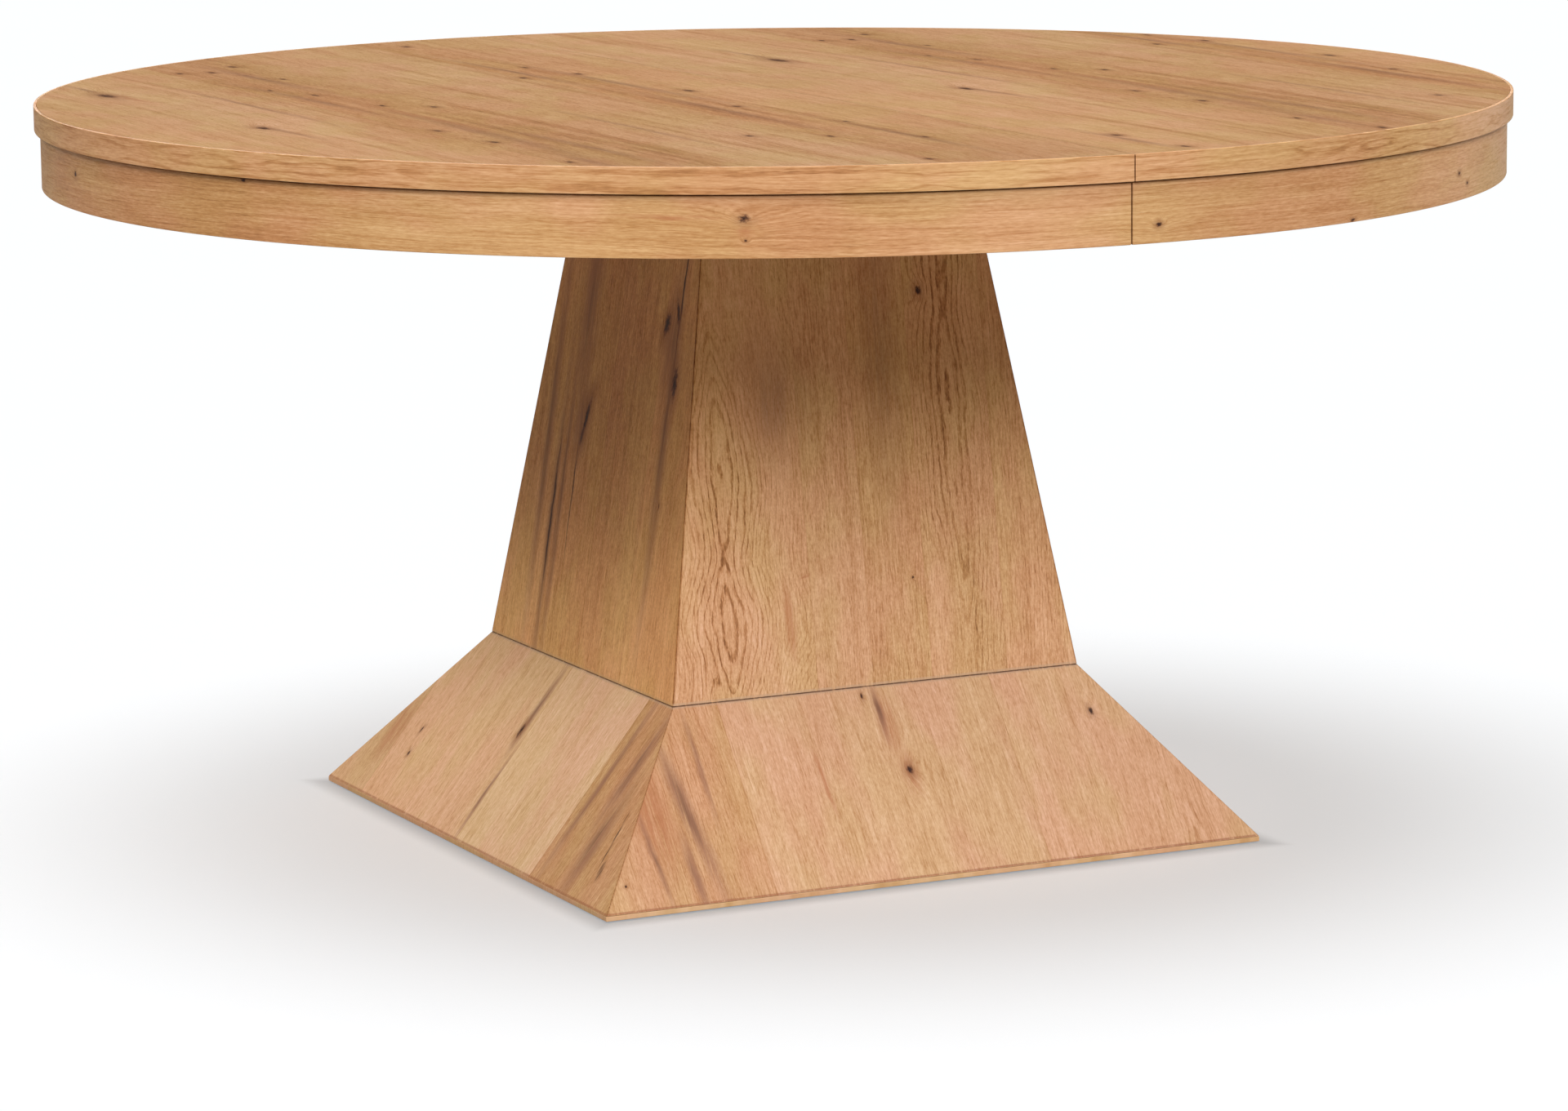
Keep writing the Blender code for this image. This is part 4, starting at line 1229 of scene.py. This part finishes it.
corners = [(-1, -1), (1, -1), (1, 1), (-1, 1)]
floor_points = [(FLOOR_HALF * x, FLOOR_HALF * y, 0.0) for x, y in corners]
floor_mesh = mesh_from("studio_floor", floor_points, [(0, 1, 2, 3)])
floor_mesh.materials.append(floor_graph.material)
floor = bpy.data.objects.new("studio_floor", floor_mesh)
bpy.context.scene.collection.objects.link(floor)
floor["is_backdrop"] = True

# The back light would glare on the top, which it grazes, so it lights only what is under it.
under_top = [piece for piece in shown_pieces() if "veneered" not in piece.name]
table_set = collect("table_set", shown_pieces())
under_set = collect("under_set", under_top)
floor_set = collect("floor_set", [floor])
sun_light("key_light", 14.0, 29.0, 24.0, 0.80, table_set)
sun_light("side_light", 78.0, 42.0, 22.0, 0.42, table_set)
sun_light("right_light", -62.0, 34.0, 30.0, 0.22, table_set)
sun_light("back_light", 196.0, 32.0, 30.0, 0.34, under_set)
sun_light("overhead_light", 95.0, 84.0, 44.0, 0.385)
sun_light("floor_light", 0.0, 80.0, 10.0, 0.57, floor_set, shadow=False)

CAMERA_PLACE = Vector((-2.5596, -5.2884, 1.3159))
CAMERA_YAW, CAMERA_PITCH, CAMERA_ROLL = 0.45179, 0.17522, -0.01033
CAMERA_LENS = 130.09
CAMERA_SENSOR = 36.0
ahead = Vector((math.sin(CAMERA_YAW), math.cos(CAMERA_YAW), 0.0))
forward = ahead * math.cos(CAMERA_PITCH) - Vector((0.0, 0.0, math.sin(CAMERA_PITCH)))
level = Vector((ahead.y, -ahead.x, 0.0))
upward = level.cross(forward)
camera_x = level * math.cos(CAMERA_ROLL) + upward * math.sin(CAMERA_ROLL)
camera_y = upward * math.cos(CAMERA_ROLL) - level * math.sin(CAMERA_ROLL)
camera_data = bpy.data.cameras.new("camera")
camera_data.lens = CAMERA_LENS
camera_data.sensor_width = CAMERA_SENSOR
camera_data.clip_end = 200.0
camera = bpy.data.objects.new("camera", camera_data)
bpy.context.scene.collection.objects.link(camera)
turn = Matrix((camera_x, camera_y, -forward)).transposed()
camera.matrix_world = Matrix.Translation(CAMERA_PLACE) @ turn.to_4x4()
bpy.context.scene.camera = camera
bpy.context.scene.view_settings.view_transform = "Standard"
